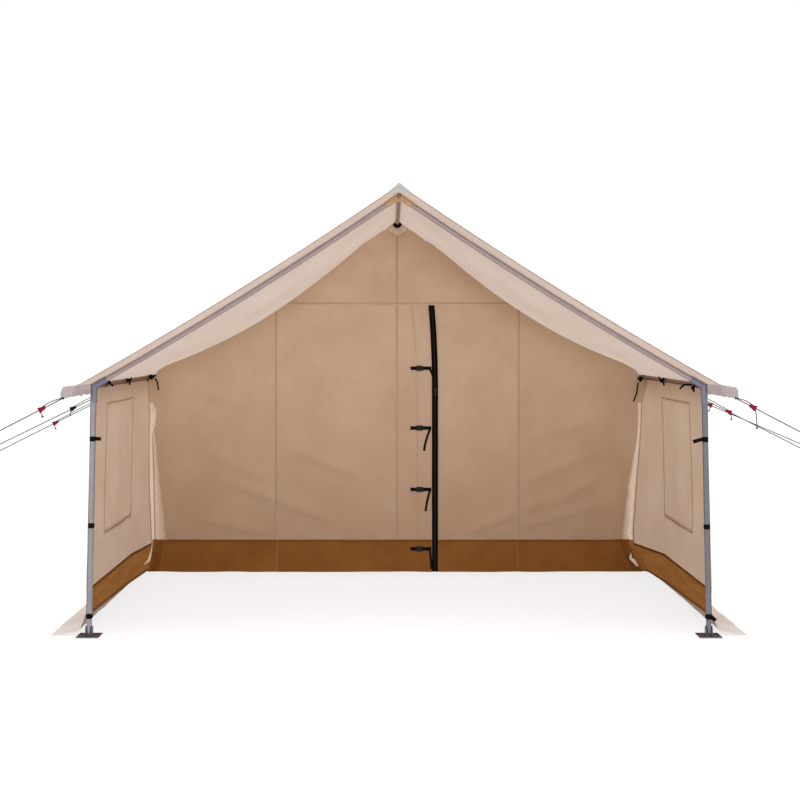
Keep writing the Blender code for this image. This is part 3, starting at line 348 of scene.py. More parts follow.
METALS = (
    ("Drawn aluminium tube", ("#AFAEB6", "#95939C", 0.40, 0.10, 60.0), ("post_",)),
    # The rafters and ridge pole get a paler, pinker aluminium than the posts.
    ("Pale pinkish aluminium tube", ("#C6BABC", "#AA9EA0", 0.42, 0.10, 60.0), ("rafter", "ridge_pole")),
    # The eave poles' brown tint is painted shade and painted reflection of the canvas round them.
    ("Aluminium tube with painted brown shade", ("#9C8A76", "#7E6C5A", 0.50, 0.10, 60.0), ("eave_pole",)),
    # The right front post gets a darker copy of the tube metal: painted shade.
    ("Aluminium tube with painted shade", ("#8E8D96", "#74737C", 0.40, 0.10, 60.0), ("post_front_right",)),
    ("Cast aluminium fitting", ("#9DA0B2", "#7D8196", 0.48, 0.10, 14.0, 0.2), ("eave_fitting",)),
    ("Yellow chromated zinc plate", ("#E4CDA2", "#C0A574", 0.42, 0.10, 12.0), ("ridge_fitting",)),
    ("Galvanised pressed steel", ("#98979C", "#6D6C72", 0.42, 0.12, 9.0, 0.2), ("foot_",)),
    ("Black nickel zinc", ("#45413E", "#2B2826", 0.34, 0.08, 5.0), ("zip_slider",)),
    ("Red anodised aluminium", ("#9A2E3A", "#741C28", 0.38, 0.08, 8.0), ("tensioner_",)),
    ("Black anodised aluminium", ("#2B2A2A", "#1A1919", 0.42, 0.08, 8.0),
     ("tensioner_middle_left",)),
)
buckle_plastic = material("Black moulded acetal", moulded, "#15100D", 0.62)
plug_plastic = material("Grey moulded plug", moulded, "#8E8D8C", 0.5)
print("metals listed", len(METALS))

# %% [markdown]
# The tubes, corner fittings, feet, slider and tensioners are finished solids. They keep their
# meshes and only get their metals. A later line of the list may take a node from an earlier
# one, as with the right front post, whose darker copy of the tube metal is painted shade.

# %% Metals on the finished solids
for metal_name, values, starts in METALS:
    finish = material(metal_name, metal, *values)
    worn_by = [node for name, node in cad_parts.items() if name.startswith(starts)]
    for node in worn_by:
        node.data.materials.clear()
        node.data.materials.append(finish)
    print(metal_name, "on", len(worn_by))

# %% [markdown]
# A guy rope leaves a loop on the eave strip, doubles back through a tensioner and runs on
# to a peg, which lies outside the picture. Something there holds it taut, so it ends just
# outside the view in a knot. Each line is one curve with the rope's real thickness. The
# strand that comes back to the tensioner and its short hanging tail are cords of their own.
# The tail goes with the tensioner.

# %% Rope lines
ROPE_DIAMETER = 0.006
STRAND_DIAMETER = ROPE_DIAMETER * 0.9
ROPE_LABELS = ("front", "middle", "back")
ROPE_Y = (-0.310, 0.950, 1.500)
ROPE_REACH = {-1: (0.431, 0.834, 1.004), 1: (0.439, 0.854, 1.040)}
ROPE_DROP = {-1: (0.221, 0.409, 0.501), 1: (0.229, 0.431, 0.445)}
TENSIONER_AT = {-1: (0.135, 0.285, 0.580), 1: (0.110, 0.330, 0.330)}
TENSIONER_L = 0.042
STRAND_LOW, STRAND_SAG, STRAND_TOP, TAIL_TOP = 0.004, 0.012, 0.0085, 0.011
EAVE_LINE = 1.52285
KNOT_R, END_KNOT, TAIL_KNOT = 0.007, 0.0085, 0.0075
STRIP_X = HALF_WIDTH + EDGE_REACH + STRIP_REACH
STRIP_Z = EAVE_LINE - EDGE_DROP - STRIP_DROP


def settle(body, slot, *pieces, stands_for=()):
    """Let pieces ride on a body; the first may stand for plain nodes. The slot is not used."""
    for piece in pieces:
        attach(piece, body)
    if stands_for:
        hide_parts(*stands_for)


def run_length(line):
    return sum((b - a).length for a, b in zip(line, line[1:]))


def rope_curve(name, line, diameter, finish, closed=False):
    """A cord along points, as one spline with a round section; a closed one is a ring."""
    data = bpy.data.curves.new(name, "CURVE")
    data.dimensions = "3D"
    data.bevel_depth = diameter / 2
    data.bevel_resolution = 2 if closed else 3
    data.use_fill_caps = not closed
    spline = data.splines.new("POLY")
    spline.points.add(len(line) - 1)
    spline.use_cyclic_u = closed
    for point, place in zip(spline.points, line):
        point.co = (*place, 1.0)
    data.materials.append(finish)
    made = bpy.data.objects.new(name, data)
    bpy.context.scene.collection.objects.link(made)
    return made


def smoothed(points, steps=6):
    """Points of a smooth curve through a few chosen points."""
    points = [Vector(p) for p in points]
    ends = [points[0] * 2 - points[1]] + points + [points[-1] * 2 - points[-2]]
    line = []
    for k in range(1, len(ends) - 2):
        a, b, c, d = ends[k - 1:k + 3]
        for step in range(steps):
            t = step / steps
            line.append(0.5 * ((2 * b) + (c - a) * t + (2 * a - 5 * b + 4 * c - d) * t * t
                        + (3 * b - a - 3 * c + d) * t ** 3))
    return line + [points[-1]]


def select_only(piece):
    bpy.ops.object.select_all(action="DESELECT")
    piece.select_set(True)
    bpy.context.view_layer.objects.active = piece


def as_mesh(made):
    """The same piece as a mesh."""
    select_only(made)
    bpy.ops.object.convert(target="MESH")
    return bpy.context.object


def knot(name, centre, along, finish, size, thick=ROPE_DIAMETER):
    """An overhand knot: a rope that winds three times through itself."""
    turn = Vector(along).to_track_quat("Z", "Y")
    line = []
    for k in range(48):
        t = math.tau * k / 48
        flat = Vector((math.sin(t) + 2 * math.sin(2 * t), math.cos(t) - 2 * math.cos(2 * t),
                      -1.4 * math.sin(3 * t)))
        line.append(Vector(centre) + turn @ (flat * (size - thick / 2) / 3.0))
    return as_mesh(rope_curve(name, line, thick, finish, True))


print("ropes leave the strip", round(STRIP_X, 3), "m out and", round(STRIP_Z, 3), "m up")


# %% Guy ropes
# How far each tail sways to the side and falls below its tensioner.
TAIL = {-1: ((0.012, -0.052), (-0.010, -0.055), (0.008, -0.050)),
        1: ((0.015, -0.128), (0.010, -0.060), (-0.012, -0.052))}
for side_name, side in SIDES:
    for index, label in enumerate(ROPE_LABELS):
        name = f"{label}_{side_name}"
        tensioner = f"tensioner_{name}"
        start = Vector((side * (STRIP_X + KNOT_R), FRONT_Y + ROPE_Y[index], STRIP_Z + CANVAS / 2))
        end = start + Vector((side * ROPE_REACH[side][index], 0, -ROPE_DROP[side][index]))
        along = (end - start).normalized()
        line = [start + (end - start) * k / 12 for k in range(13)]
        rope = rope_curve(f"guy_line_{name}", line, ROPE_DIAMETER, braid)
        at = start + along * (TENSIONER_AT[side][index] + TENSIONER_L * 0.15)
        across = Vector((0, 1, 0)).cross(along) * side
        low = start - across * STRAND_LOW + along * ROPE_DIAMETER
        back = smoothed([low, low.lerp(at, 0.5) - across * STRAND_SAG, at - across * STRAND_TOP])
        strand = as_mesh(rope_curve(f"guy_return_{name}", back, STRAND_DIAMETER, braid))
        sway, fall = TAIL[side][index]
        root = at - across * TAIL_TOP
        tip = root + Vector((sway, 0.006, fall))
        hang = smoothed([root, root + Vector((side * 0.004, 0.001, -0.014)),
                         root.lerp(tip, 0.6) + Vector((side * 0.004, 0, 0)), tip])
        tail = rope_curve(f"guy_tail_{name}", hang, STRAND_DIAMETER, braid)
        ends = [knot(f"guy_knot_eave_{name}", start, along, braid, END_KNOT),
                knot(f"guy_knot_far_{name}", end, along, braid, END_KNOT)]
        ball = knot(f"guy_knot_tail_{name}", tip, (0, 0, 1), braid, TAIL_KNOT)
        settle("frame", "guy_rope", rope, *ends, stands_for=[f"guy_rope_{name}"])
        settle(tensioner, "guy_rope", tail, ball)
        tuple(back[0])
        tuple(back[-1])
        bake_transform(strand)
        round(run_length(line), 4)
        round(run_length(back), 4)
        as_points(back)
        round(run_length(hang), 4)
        print(f"{name}: rope {run_length(line):.3f} m, return {run_length(back):.3f} m")

# %% [markdown]
# Cloth is cut flat, so each piece starts as a flat grid. The grid's columns and rows are
# places along the cut in metres; a function then says where each point hangs. The same
# metres become the UV map, so weave and wear follow the cloth. Where a cloth is cut to a
# slope or has an opening, the faces outside the cut are taken away.

# %% A cloth from a flat grid
FRONT, BACK, UP = (0, -1, 0), (0, 1, 0), (0, 0, 1)


def clamp(value):
    """The value, kept between 0 and 1."""
    return min(1.0, max(0.0, value))


def spread(low, high, step, *wanted):
    """Even places from low to high about a step apart, with the wanted ones among them."""
    stops = sorted({low, high, *[w for w in wanted if low < w < high]})
    places = []
    for a, b in zip(stops, stops[1:]):
        parts = max(1, round((b - a) / step))
        places += [a + (b - a) * k / parts for k in range(parts)]
    return places + [high]


def cloth(name, finish, us, vs, place, outward, keep=None, wide=1.0, thick=0.0):
    """A sheet whose point at column u and row v hangs at place(u, v). The width of its UV map
    is stretched by wide; a strip with a thickness gets it evenly on both sides."""
    bpy.ops.mesh.primitive_grid_add(x_subdivisions=len(us) - 1, y_subdivisions=len(vs) - 1)
    made = bpy.context.object
    made.name = made.data.name = name
    mesh = made.data
    cuts = [(us[v.index % len(us)], vs[v.index // len(us)]) for v in mesh.vertices]
    for vert, (u, v) in zip(mesh.vertices, cuts):
        vert.co = place(u, v)
    layer = mesh.uv_layers[0]
    layer.name = "Cut"
    for loop in mesh.loops:
        u, v = cuts[loop.vertex_index]
        layer.data[loop.index].uv = (u * wide, v)
    work = bmesh.new()
    work.from_mesh(mesh)
    if keep:
        middle = [[sum(cuts[v.index][n] for v in f.verts) / len(f.verts) for n in (0, 1)]
                  for f in work.faces]
        gone = [f for f, (u, v) in zip(work.faces, middle) if not keep(u, v)]
        bmesh.ops.delete(work, geom=gone, context="FACES")
    bmesh.ops.remove_doubles(work, verts=work.verts, dist=0.2 * MM)
    bmesh.ops.dissolve_degenerate(work, edges=work.edges, dist=0.1 * MM)
    if sum((f.normal.dot(Vector(outward)) * f.calc_area() for f in work.faces), 0.0) < 0:
        bmesh.ops.reverse_faces(work, faces=work.faces)
    work.to_mesh(mesh)
    work.free()
    mesh.shade_smooth()
    mesh.materials.clear()
    mesh.materials.append(finish)
    if thick:
        thicken(made, thick)
    return made


def thicken(piece, thickness):
    select_only(piece)
    solid = piece.modifiers.new("Cloth thickness", "SOLIDIFY")
    solid.thickness = thickness
    solid.offset = 0.0
    bpy.ops.object.modifier_apply(modifier=solid.name)
    piece.data.shade_smooth()
    piece.data.set_sharp_from_angle(angle=math.radians(40))


def ruffle(u, v, size_u, size_v, seed):
    """Smooth random height between -1 and 1, with bumps of those sizes in metres."""
    return noise.noise(Vector((u / size_u, v / size_v, seed)))


def crease(u, v, start, end, width):
    """1 on the line from start to end, falling to 0 at a width beside it and past its ends."""
    a, p = Vector(start), Vector((u, v))
    run = Vector(end) - a
    share = clamp((p - a).dot(run) / run.length_squared)
    away = (p - a - run * share).length / width
    fade = math.sin(math.pi * share) ** 0.5 if 0 < share < 1 else 0.0
    return fade * math.exp(-away * away)


print("cloth helpers ready")

# %% [markdown]
# The roof is two slopes that hang from the ridge pole over the rafters. Between trusses
# nothing holds the canvas up, so it bellies down, most at mid span. Long soft folds run down
# the slope where the weight pulls. Each slope is one continuous sheet that follows the same
# belly as its plain solid.

# %% Shape of the roof
EAVE_DROP = RIDGE_Z - EAVE_Z
EAVE_EDGE = HALF_WIDTH + EDGE_REACH
SPANS = ((FRONT_Y, DOOR_Y, 0.150), (DOOR_Y, MID_Y, 0.020), (MID_Y, REAR_Y, 0.100))
RAFTER_CLEAR = 0.0199


def roof_line(x):
    """Height of the roof's underside over a truss."""
    share = min(abs(x) / HALF_WIDTH, 1.0)
    drop = EAVE_DROP * share + 4 * RAFTER_BOW * share * (1 - share)
    slope = (EAVE_DROP + 4 * RAFTER_BOW * (1 - 2 * share)) / HALF_WIDTH
    edge = max(0.0, abs(x) - HALF_WIDTH) / EDGE_REACH
    return RIDGE_Z - drop + RAFTER_CLEAR * math.sqrt(1 + slope * slope) - EDGE_DROP * edge


def belly(x, y):
    """How far the roof hangs below its line, with the folds that its weight pulls."""
    if abs(x) >= HALF_WIDTH:
        return 0.0
    down = math.sin(math.pi * abs(x) / HALF_WIDTH)
    for low, high, depth in SPANS:
        if low < y < high:
            along = math.sin(math.pi * (y - low) / (high - low))
            soft = 0.005 * ruffle(x, y, 0.9, 0.22, 3.1) + 0.002 * ruffle(x, y, 0.35, 0.07, 8.4)
            return depth * along * down + soft * along * min(1.0, 2 * down)
    return 0.0


def roof_point(x, y, lift=0.0):
    edge = 0.002 * ruffle(y, 0.0, 0.25, 1.0, 5.0) if y < FRONT_Y - 0.2 or y > REAR_Y + 0.1 else 0.0
    return Vector((x, y, roof_line(x) + CANVAS / 2 + lift + edge - belly(x, y)))


ROOF_ACROSS = spread(0.0, EAVE_EDGE, 0.034, HALF_WIDTH)
ROOF_ALONG = spread(ROOF_FRONT, ROOF_REAR, 0.04, FRONT_Y, DOOR_Y, MID_Y, REAR_Y)


def roof_piece(name, side, us, vs, lift=0.0, thick=0.0):
    """Canvas on one slope of the roof."""
    return cloth(name, roof_canvas, us, vs, lambda u, v: roof_point(side * u, v, lift),
                 (side * 0.5, 0, 1), thick=thick)


roofs = {side: roof_piece(f"roof_canvas_{side_name}", side, ROOF_ACROSS, ROOF_ALONG)
         for side_name, side in SIDES}
print("roof slopes of", len(roofs[1].data.polygons), "faces")

# %% [markdown]
# The cut edges of canvas are folded over twice and sewn, so an edge is thicker than the
# cloth. The front and rear edges get such a hem. Panels join in flat seams, two cloths folded
# into each other and sewn down with two rows, which show as a narrow raised strip. The ridge
# ends in a pale patch folded over the edge, and along each eave runs a white coated strip
# with the rope loops.

# %% Hems, seams, ridge patches and eave strips
HEM, SEAM = 0.030, 0.014
ROOF_SEAMS = (0.02, 0.92, 1.82)
STRIP_TURN = 0.065


def strip_point(side, u, y):
    """The eave strip: u metres out from where it is sewn on, first level, then hanging."""
    turn = min(1.0, u / 0.03)
    level, hung = min(u, STRIP_TURN), max(0.0, u - STRIP_TURN)
    out = level + 0.016 * math.sin(min(1.0, hung / 0.06) * math.pi / 2)
    fall = 0.10 * level + 0.98 * hung
    lift = 0.022 * max(0.0, (ROOF_FRONT + 0.023 - y) / 0.023) * hung / 0.07
    wave = 0.007 * ruffle(y, u, 0.060, 0.045, 2.0 + side) + 0.005 * ruffle(y, u, 0.021, 0.03, 7.0)
    x = EAVE_EDGE - 0.010 + out + wave * 0.7 * turn
    z = EAVE_LINE - EDGE_DROP + 0.007 - fall + lift + wave * turn
    return Vector((side * x, y, z + CANVAS / 2))


def peak_point(sign, u, v):
    """A patch folded over the ridge; v runs back from 0 at the hanging edge."""
    edge = ROOF_FRONT if sign < 0 else ROOF_REAR
    middle = math.exp(-(u / 0.03) ** 2)
    lump = 0.009 * middle + 0.002 * ruffle(u, v, 0.02, 0.03, 6.0)
    fall = (0.022 + 0.016 * middle) * max(0.0, 1 - v / 0.022)
    y = edge - sign * max(0.0, v - 0.022) + sign * 0.0018
    return Vector((u, y, roof_point(u, edge - sign * 0.02).z + 0.0035 + lump - fall))


for side_name, side in SIDES:
    trim = [roof_piece(f"roof_hem_{label}_{side_name}", side, ROOF_ACROSS, spread(low, high, 0.015),
                       -0.0005, 3.0 * MM)
            for label, low, high in (("front", ROOF_FRONT + MM, ROOF_FRONT + HEM),
                                     ("rear", ROOF_REAR - HEM, ROOF_REAR - MM))]
    trim += [roof_piece(f"roof_seam_{number}_{side_name}", side, spread(0.05, EAVE_EDGE, 0.03),
                        spread(y, y + SEAM, SEAM / 2), thick=2.4 * MM)
             for number, y in enumerate(ROOF_SEAMS, 1)]
    trim.append(cloth(f"eave_strip_{side_name}", strip_cloth, spread(0.0, 0.135, 0.009),
                      spread(ROOF_FRONT + 0.004, ROOF_REAR - 0.004, 0.014),
                      partial(strip_point, side), (side, 0, 1), thick=1.6 * MM))
    settle("frame", "roof_canvas", roofs[side], *trim, stands_for=[f"roof_{side_name}"])
    print("roof", side_name, "has", len(trim), "strips")

for end, sign in (("front", -1), ("rear", 1)):
    peak = cloth(f"peak_patch_{end}", patch_cloth, spread(-0.062, 0.062, 0.008, 0.0),
                 spread(0.0, 0.10, 0.008, 0.022), partial(peak_point, sign), UP)
    settle("frame", "roof_canvas", peak)

# %% [markdown]
# The side walls hang just outside the posts and lean out with them. At the door wall they
# are drawn in, so that a slit of daylight shows at the corner, more on the right than on the
# left. They follow their plain solids but for a few centimetres at that corner, where loose
# cloth gathers.

# %% Shape of the side walls
HEM_FRONT, HEM_DOOR, HEM_ROOM = 0.110, 0.055, 0.095
CORNER_Z = (0.050, 0.270, 0.350, 0.720, 1.080, 1.150, 1.260, 1.320, 1.450)
PORCH_PULL = {-1: (0.012, 0.057, 0.050, 0.028, 0.020, 0.019, 0.018, 0.017, 0.0),
              1: (0.010, 0.124, 0.128, 0.095, 0.057, 0.053, 0.047, 0.044, 0.0)}
ROOM_PULL = {-1: (0.020, 0.062, 0.060, 0.046, 0.029, 0.052, 0.058, 0.022, 0.0),
             1: (0.050, 0.150, 0.151, 0.122, 0.066, 0.061, 0.057, 0.060, 0.0)}
PORCH_END, ROOM_START = DOOR_Y - 0.035, DOOR_Y + 0.005
PULL_END = MID_Y - 0.120
WINDOW_NEAR, WINDOW_FAR, WINDOW_LOW, WINDOW_HIGH = FRONT_Y + 0.50, FRONT_Y + 1.29, 0.56, 1.36
FLAP_LAP = 0.020
WALL_TOP = 1.5134


def reading(stations, values, at):
    """Straight-line reading of a table."""
    if at <= stations[0]:
        return values[0]
    for k in range(len(stations) - 1):
        if at <= stations[k + 1]:
            share = (at - stations[k]) / (stations[k + 1] - stations[k])
            return values[k] + share * (values[k + 1] - values[k])
    return values[-1]


def post_x(z):
    return HALF_WIDTH + POST_LEAN * (EAVE_Z - z) / (EAVE_Z - POST_FOOT_Z)


def wall_x(z):
    return post_x(z) + SLEEVE_R + 0.0003


def hem_z(y):
    return reading((FRONT_Y, DOOR_Y, MID_Y), (HEM_FRONT, HEM_DOOR, HEM_ROOM), y)


def drawn_in(side, y, z):
    if y <= DOOR_Y:
        start = WINDOW_FAR + FLAP_LAP
        return clamp((y - start) / (PORCH_END - start)) * reading(CORNER_Z, PORCH_PULL[side], z)
    return clamp((PULL_END - y) / (PULL_END - ROOM_START)) * reading(CORNER_Z, ROOM_PULL[side], z)


def hanging_fold(y, z):
    """Outward folds, none at the eave, the band, the trusses and the corner."""
    low, high = (FRONT_Y, DOOR_Y) if y < DOOR_Y else (MID_Y, REAR_Y)
    if not (BAND_TOP < z < EAVE_Z and low < y < high):
        return 0.0
    along = math.sin(math.tau * (y - low) / (high - low)) ** 2
    height = math.sin(math.pi * (z - BAND_TOP) / (EAVE_Z - BAND_TOP))
    fine = 0.0035 * ruffle(y, z, 0.11, 0.8, 1.7) + 0.002 * ruffle(y, z, 0.4, 0.3, 6.2)
    return 0.010 * along * height + fine * min(1.0, 3 * height) * min(1.0, (high - y) / 0.1)


def wall_point(side, y, z, out=0.0):
    x = wall_x(z) - drawn_in(side, y, z) + hanging_fold(y, z) + CANVAS / 2 + out
    return Vector((side * x, y, z))


print("side walls from", round(wall_x(0.11), 4), "to", round(wall_x(1.5), 4))

# %% [markdown]
# Each porch wall is one panel with a window, bound with tape round its edge. A cover of the
# same canvas hangs over it outside; on the real tent it rolls up from the bottom, here it moves
# with the window flap as one piece. A brown coated band is sewn along the foot, where rain
# splashes. Behind the door wall two long side walls close the room. They have the same canvas,
# seams where two widths join, and the brown band too.

# %% Side walls, windows and covers
BIND = 0.006
STITCH_NEAR, STITCH_FAR = 0.011, 0.014
window_y = (WINDOW_NEAR + WINDOW_FAR) / 2
cover_ys = spread(window_y - 0.415, window_y + 0.415, 0.025)
cover_low = WINDOW_LOW - FLAP_LAP
LAP = 0.01


def outside_window(y, z, grow=0.0):
    return not (WINDOW_NEAR - grow < y < WINDOW_FAR + grow
                and WINDOW_LOW - grow < z < WINDOW_HIGH + grow)


def round_window(step, reach, start=0.0):
    """Columns and rows of a frame round the window."""
    return (spread(WINDOW_NEAR - reach, WINDOW_FAR + reach, step, WINDOW_NEAR - start,
                   WINDOW_FAR + start),
            spread(WINDOW_LOW - reach, WINDOW_HIGH + reach, step, WINDOW_LOW - start,
                   WINDOW_HIGH + start))


def wall_piece(name, finish, side, us, vs, lift=0.0, thick=0.0, keep=None):
    """Cloth on a side wall, lifted outwards."""
    return cloth(name, finish, us, vs, lambda u, v: wall_point(side, u, v, lift), (side, 0, 0),
                 keep=keep, thick=thick)


def foot_band(name, side, us, step, lift):
    """The brown band, from the hem up to its own top edge."""
    return cloth(name, band_cloth, us, spread(0.0, 1.0, step),
                 lambda u, v: wall_point(side, u, hem_z(u) + v * (BAND_TOP - hem_z(u)), lift),
                 (side, 0, 0))


def stitch_spot(side, u, v):
    return wall_point(side, u + 0.003 * ruffle(v, u, 0.05, 0.4, 1.0),
                      v + 0.003 * ruffle(u, v, 0.05, 0.4, 2.0), -0.0022)


for side_name, side in SIDES:
    wall = wall_piece(f"porch_canvas_{side_name}", wall_canvas, side,
                      spread(FRONT_Y + 0.002, PORCH_END, 0.024, WINDOW_NEAR, WINDOW_FAR),
                      spread(BAND_TOP - LAP, WALL_TOP, 0.030, WINDOW_LOW, WINDOW_HIGH),
                      keep=outside_window)
    trim = [wall_piece(f"window_tape_{label}_{side_name}", lining_cloth, side,
                       *round_window(0.022, BIND), lift, 0.7 * MM, outside_window)
            for label, lift in (("inner", -0.0008), ("outer", 0.0008))]
    trim.append(cloth(f"window_stitch_{side_name}", seam_thread,
                      *round_window(0.02, STITCH_FAR, STITCH_NEAR),
                      partial(stitch_spot, side), (side, 0, 0), thick=0.5 * MM,
                      keep=lambda u, v: outside_window(u, v, STITCH_NEAR)))
    trim += [wall_piece(f"porch_hem_{label}_{side_name}", wall_canvas, side,
                        spread(low, high, 0.014), spread(BAND_TOP, WALL_TOP - 0.002, 0.04),
                        thick=2.8 * MM)
             for label, low, high in (("front", FRONT_Y + MM, FRONT_Y + 0.028),
                                      ("rear", PORCH_END - 0.022, PORCH_END - MM))]
    cover = wall_piece(f"window_cover_{side_name}", wall_canvas, side, cover_ys,
                       spread(cover_low, WINDOW_HIGH + FLAP_LAP, 0.03), 0.0018)
    cover_hem = wall_piece(f"window_cover_hem_{side_name}", wall_canvas, side, cover_ys,
                           spread(cover_low, cover_low + 0.025, 0.0125), 0.0030, 2.0 * MM)
    band_ys = spread(FRONT_Y + 0.002, PORCH_END, 0.03)
    band = foot_band(f"splash_cloth_{side_name}", side, band_ys, 0.11, -0.0004)
    edge = wall_piece(f"splash_edge_{side_name}", band_cloth, side, band_ys,
                      spread(BAND_TOP - 0.014, BAND_TOP + 0.004, 0.009), -0.0004, 1.4 * MM)
    flap = f"window_flap_{side_name}"
    settle("frame", "wall_canvas", wall, *trim, stands_for=[f"porch_wall_{side_name}"])
    settle("frame", "splash_band", band, edge, stands_for=[f"splash_band_{side_name}"])
    settle(flap, "wall_canvas", cover, cover_hem, stands_for=[flap])
    print("porch wall", side_name, len(wall.data.polygons), "faces")

for side_name, side in SIDES:
    ys = spread(ROOM_START, REAR_Y + 0.018, 0.034, MID_Y)
    room = wall_piece(f"room_canvas_{side_name}", wall_canvas, side, ys,
                      spread(BAND_TOP - LAP, WALL_TOP, 0.035))
    foot = foot_band(f"room_band_{side_name}", side, ys, 0.125, 0.0006)
    trim = [wall_piece(f"room_seam_{number}_{side_name}", wall_canvas, side,
                       spread(y, y + SEAM, SEAM / 2), spread(BAND_TOP, WALL_TOP - 0.002, 0.04),
                       thick=2.6 * MM)
            for number, y in enumerate((0.36, 1.26, 2.16), 1)]
    settle("frame", "wall_canvas", room, *trim, stands_for=[f"room_wall_{side_name}"])
    settle("frame", "splash_band", foot)
    print("room wall", side_name, len(room.data.polygons), "faces")

# %% [markdown]
# The gable walls are cut to the roof's slope. Their grid is square and every point above the
# slope is brought down onto it; the faces wholly above it are left out.

# %% Rear wall
REAR_FACE = REAR_Y + SLEEVE_R + 0.0006 + CANVAS / 2
REAR_CORNER = 1.8532


def gable_top(x):
    return roof_line(x) - 0.0009


def rear_y(x, z):
    high = gable_top(min(abs(x), HALF_WIDTH))
    fold = 0.014 * math.sin(math.pi * 3 * (x + HALF_WIDTH) / HALF_WIDTH) ** 2
    fold += 0.003 * (1 + ruffle(x, z, 0.16, 0.9, 4.4))
    return REAR_FACE + fold * clamp((high - z) / 0.3) * math.sin(math.pi * min(z, high) / RIDGE_Z)


def rear_top(x):
    return gable_top(min(abs(x), HALF_WIDTH)) - (0.009 if abs(x) > HALF_WIDTH else 0.0)


def rear_spot(u, v):
    z = min(v, rear_top(u))
    x = math.copysign(wall_x(z) + CANVAS / 2, u) if abs(u) == REAR_CORNER else u
    return Vector((x, rear_y(x, z), z))


def rear_band_spot(u, v):
    return Vector((math.copysign(min(abs(u), wall_x(v) + MM), u), rear_y(u, v) + 0.0008, v))


rear_xs = [-REAR_CORNER] + spread(-HALF_WIDTH, HALF_WIDTH, 0.035, 0.0)[1:-1] + [REAR_CORNER]
rear_zs = spread(BAND_TOP - LAP, 2.67, 0.035)
half_step = (rear_zs[1] - rear_zs[0]) / 2
rear = cloth("rear_canvas", wall_canvas, rear_xs, rear_zs, rear_spot, BACK,
             keep=lambda u, v: v - half_step < rear_top(u) - MM)
rear_band = cloth("rear_band", band_cloth, rear_xs, spread(HEM_ROOM, BAND_TOP, 0.03),
                  rear_band_spot, BACK)
rear_trim = [cloth(f"rear_seam_{number}", wall_canvas, spread(x, x + SEAM, SEAM / 2),
                   spread(BAND_TOP, gable_top(x) - 0.01, 0.04),
                   lambda u, v: Vector((u, rear_y(u, v), v)), BACK, thick=2.6 * MM)
             for number, x in enumerate((-0.9, 0.0, 0.9), 1)]
settle("frame", "wall_canvas", rear, *rear_trim, stands_for=["rear_wall"])
settle("frame", "splash_band", rear_band)
print("rear wall", len(rear.data.polygons), "faces")

# %% [markdown]
# A strip of pale coated cloth is sewn to the foot of each side wall and lies out over the
# ground. Inside a snow-loaded or windy camp it would be weighed down; here it just lies in
# shallow waves.

# %% Sod cloth
SOD_OUT, SOD_BEND = HALF_WIDTH + POST_LEAN + 0.231, HALF_WIDTH + POST_LEAN + 0.069
SOD_OUT_Z, SOD_BEND_Z, SOD_BEND_AT = 0.004, 0.029, 0.42


def sod_point(side, u, y):
    """u runs from 0 at the hem to 1 at the free edge."""
    if u > SOD_BEND_AT:
        share = min(1.0, (u - SOD_BEND_AT) / (1 - SOD_BEND_AT))
        x = SOD_BEND + (SOD_OUT - SOD_BEND) * share
        z = SOD_BEND_Z + (SOD_OUT_Z - SOD_BEND_Z) * (1 - (1 - share) ** 1.5)
    else:
        top = hem_z(y) + 0.020
        inner = wall_x(top) - drawn_in(side, y, top) + CANVAS + 0.0008
        x = inner + (SOD_BEND - inner) * u / SOD_BEND_AT
        z = top + (SOD_BEND_Z - top) * (1.0 - (1.0 - u / SOD_BEND_AT) ** 1.6)
    wave = 0.004 * ruffle(y, u, 0.16, 0.5, 9.0 + side) * min(1.0, 3 * u)
    return Vector((side * x, y, max(z + wave, 0.0028) + CANVAS / 2))


for side_name, side in SIDES:
    sod = cloth(f"sod_cloth_{side_name}", sod_cloth, spread(0.0, 1.0, 0.07, SOD_BEND_AT),
                spread(FRONT_Y + MM, REAR_Y + 0.099, 0.03),
                partial(sod_point, side), UP, wide=0.24)
    settle("frame", "sod_cloth", sod, stands_for=[f"sod_flap_{side_name}"])
    print("sod cloth", side_name, len(sod.data.polygons), "faces")

# %% [markdown]
# The door wall closes the room behind the porch. It is one cloth with a wide doorway, and its
# top is cut to the roof's slope. Low down at its corners it is drawn in with the side walls.
# The canvas is not ironed, so creases run through it from where it was folded for its bag.

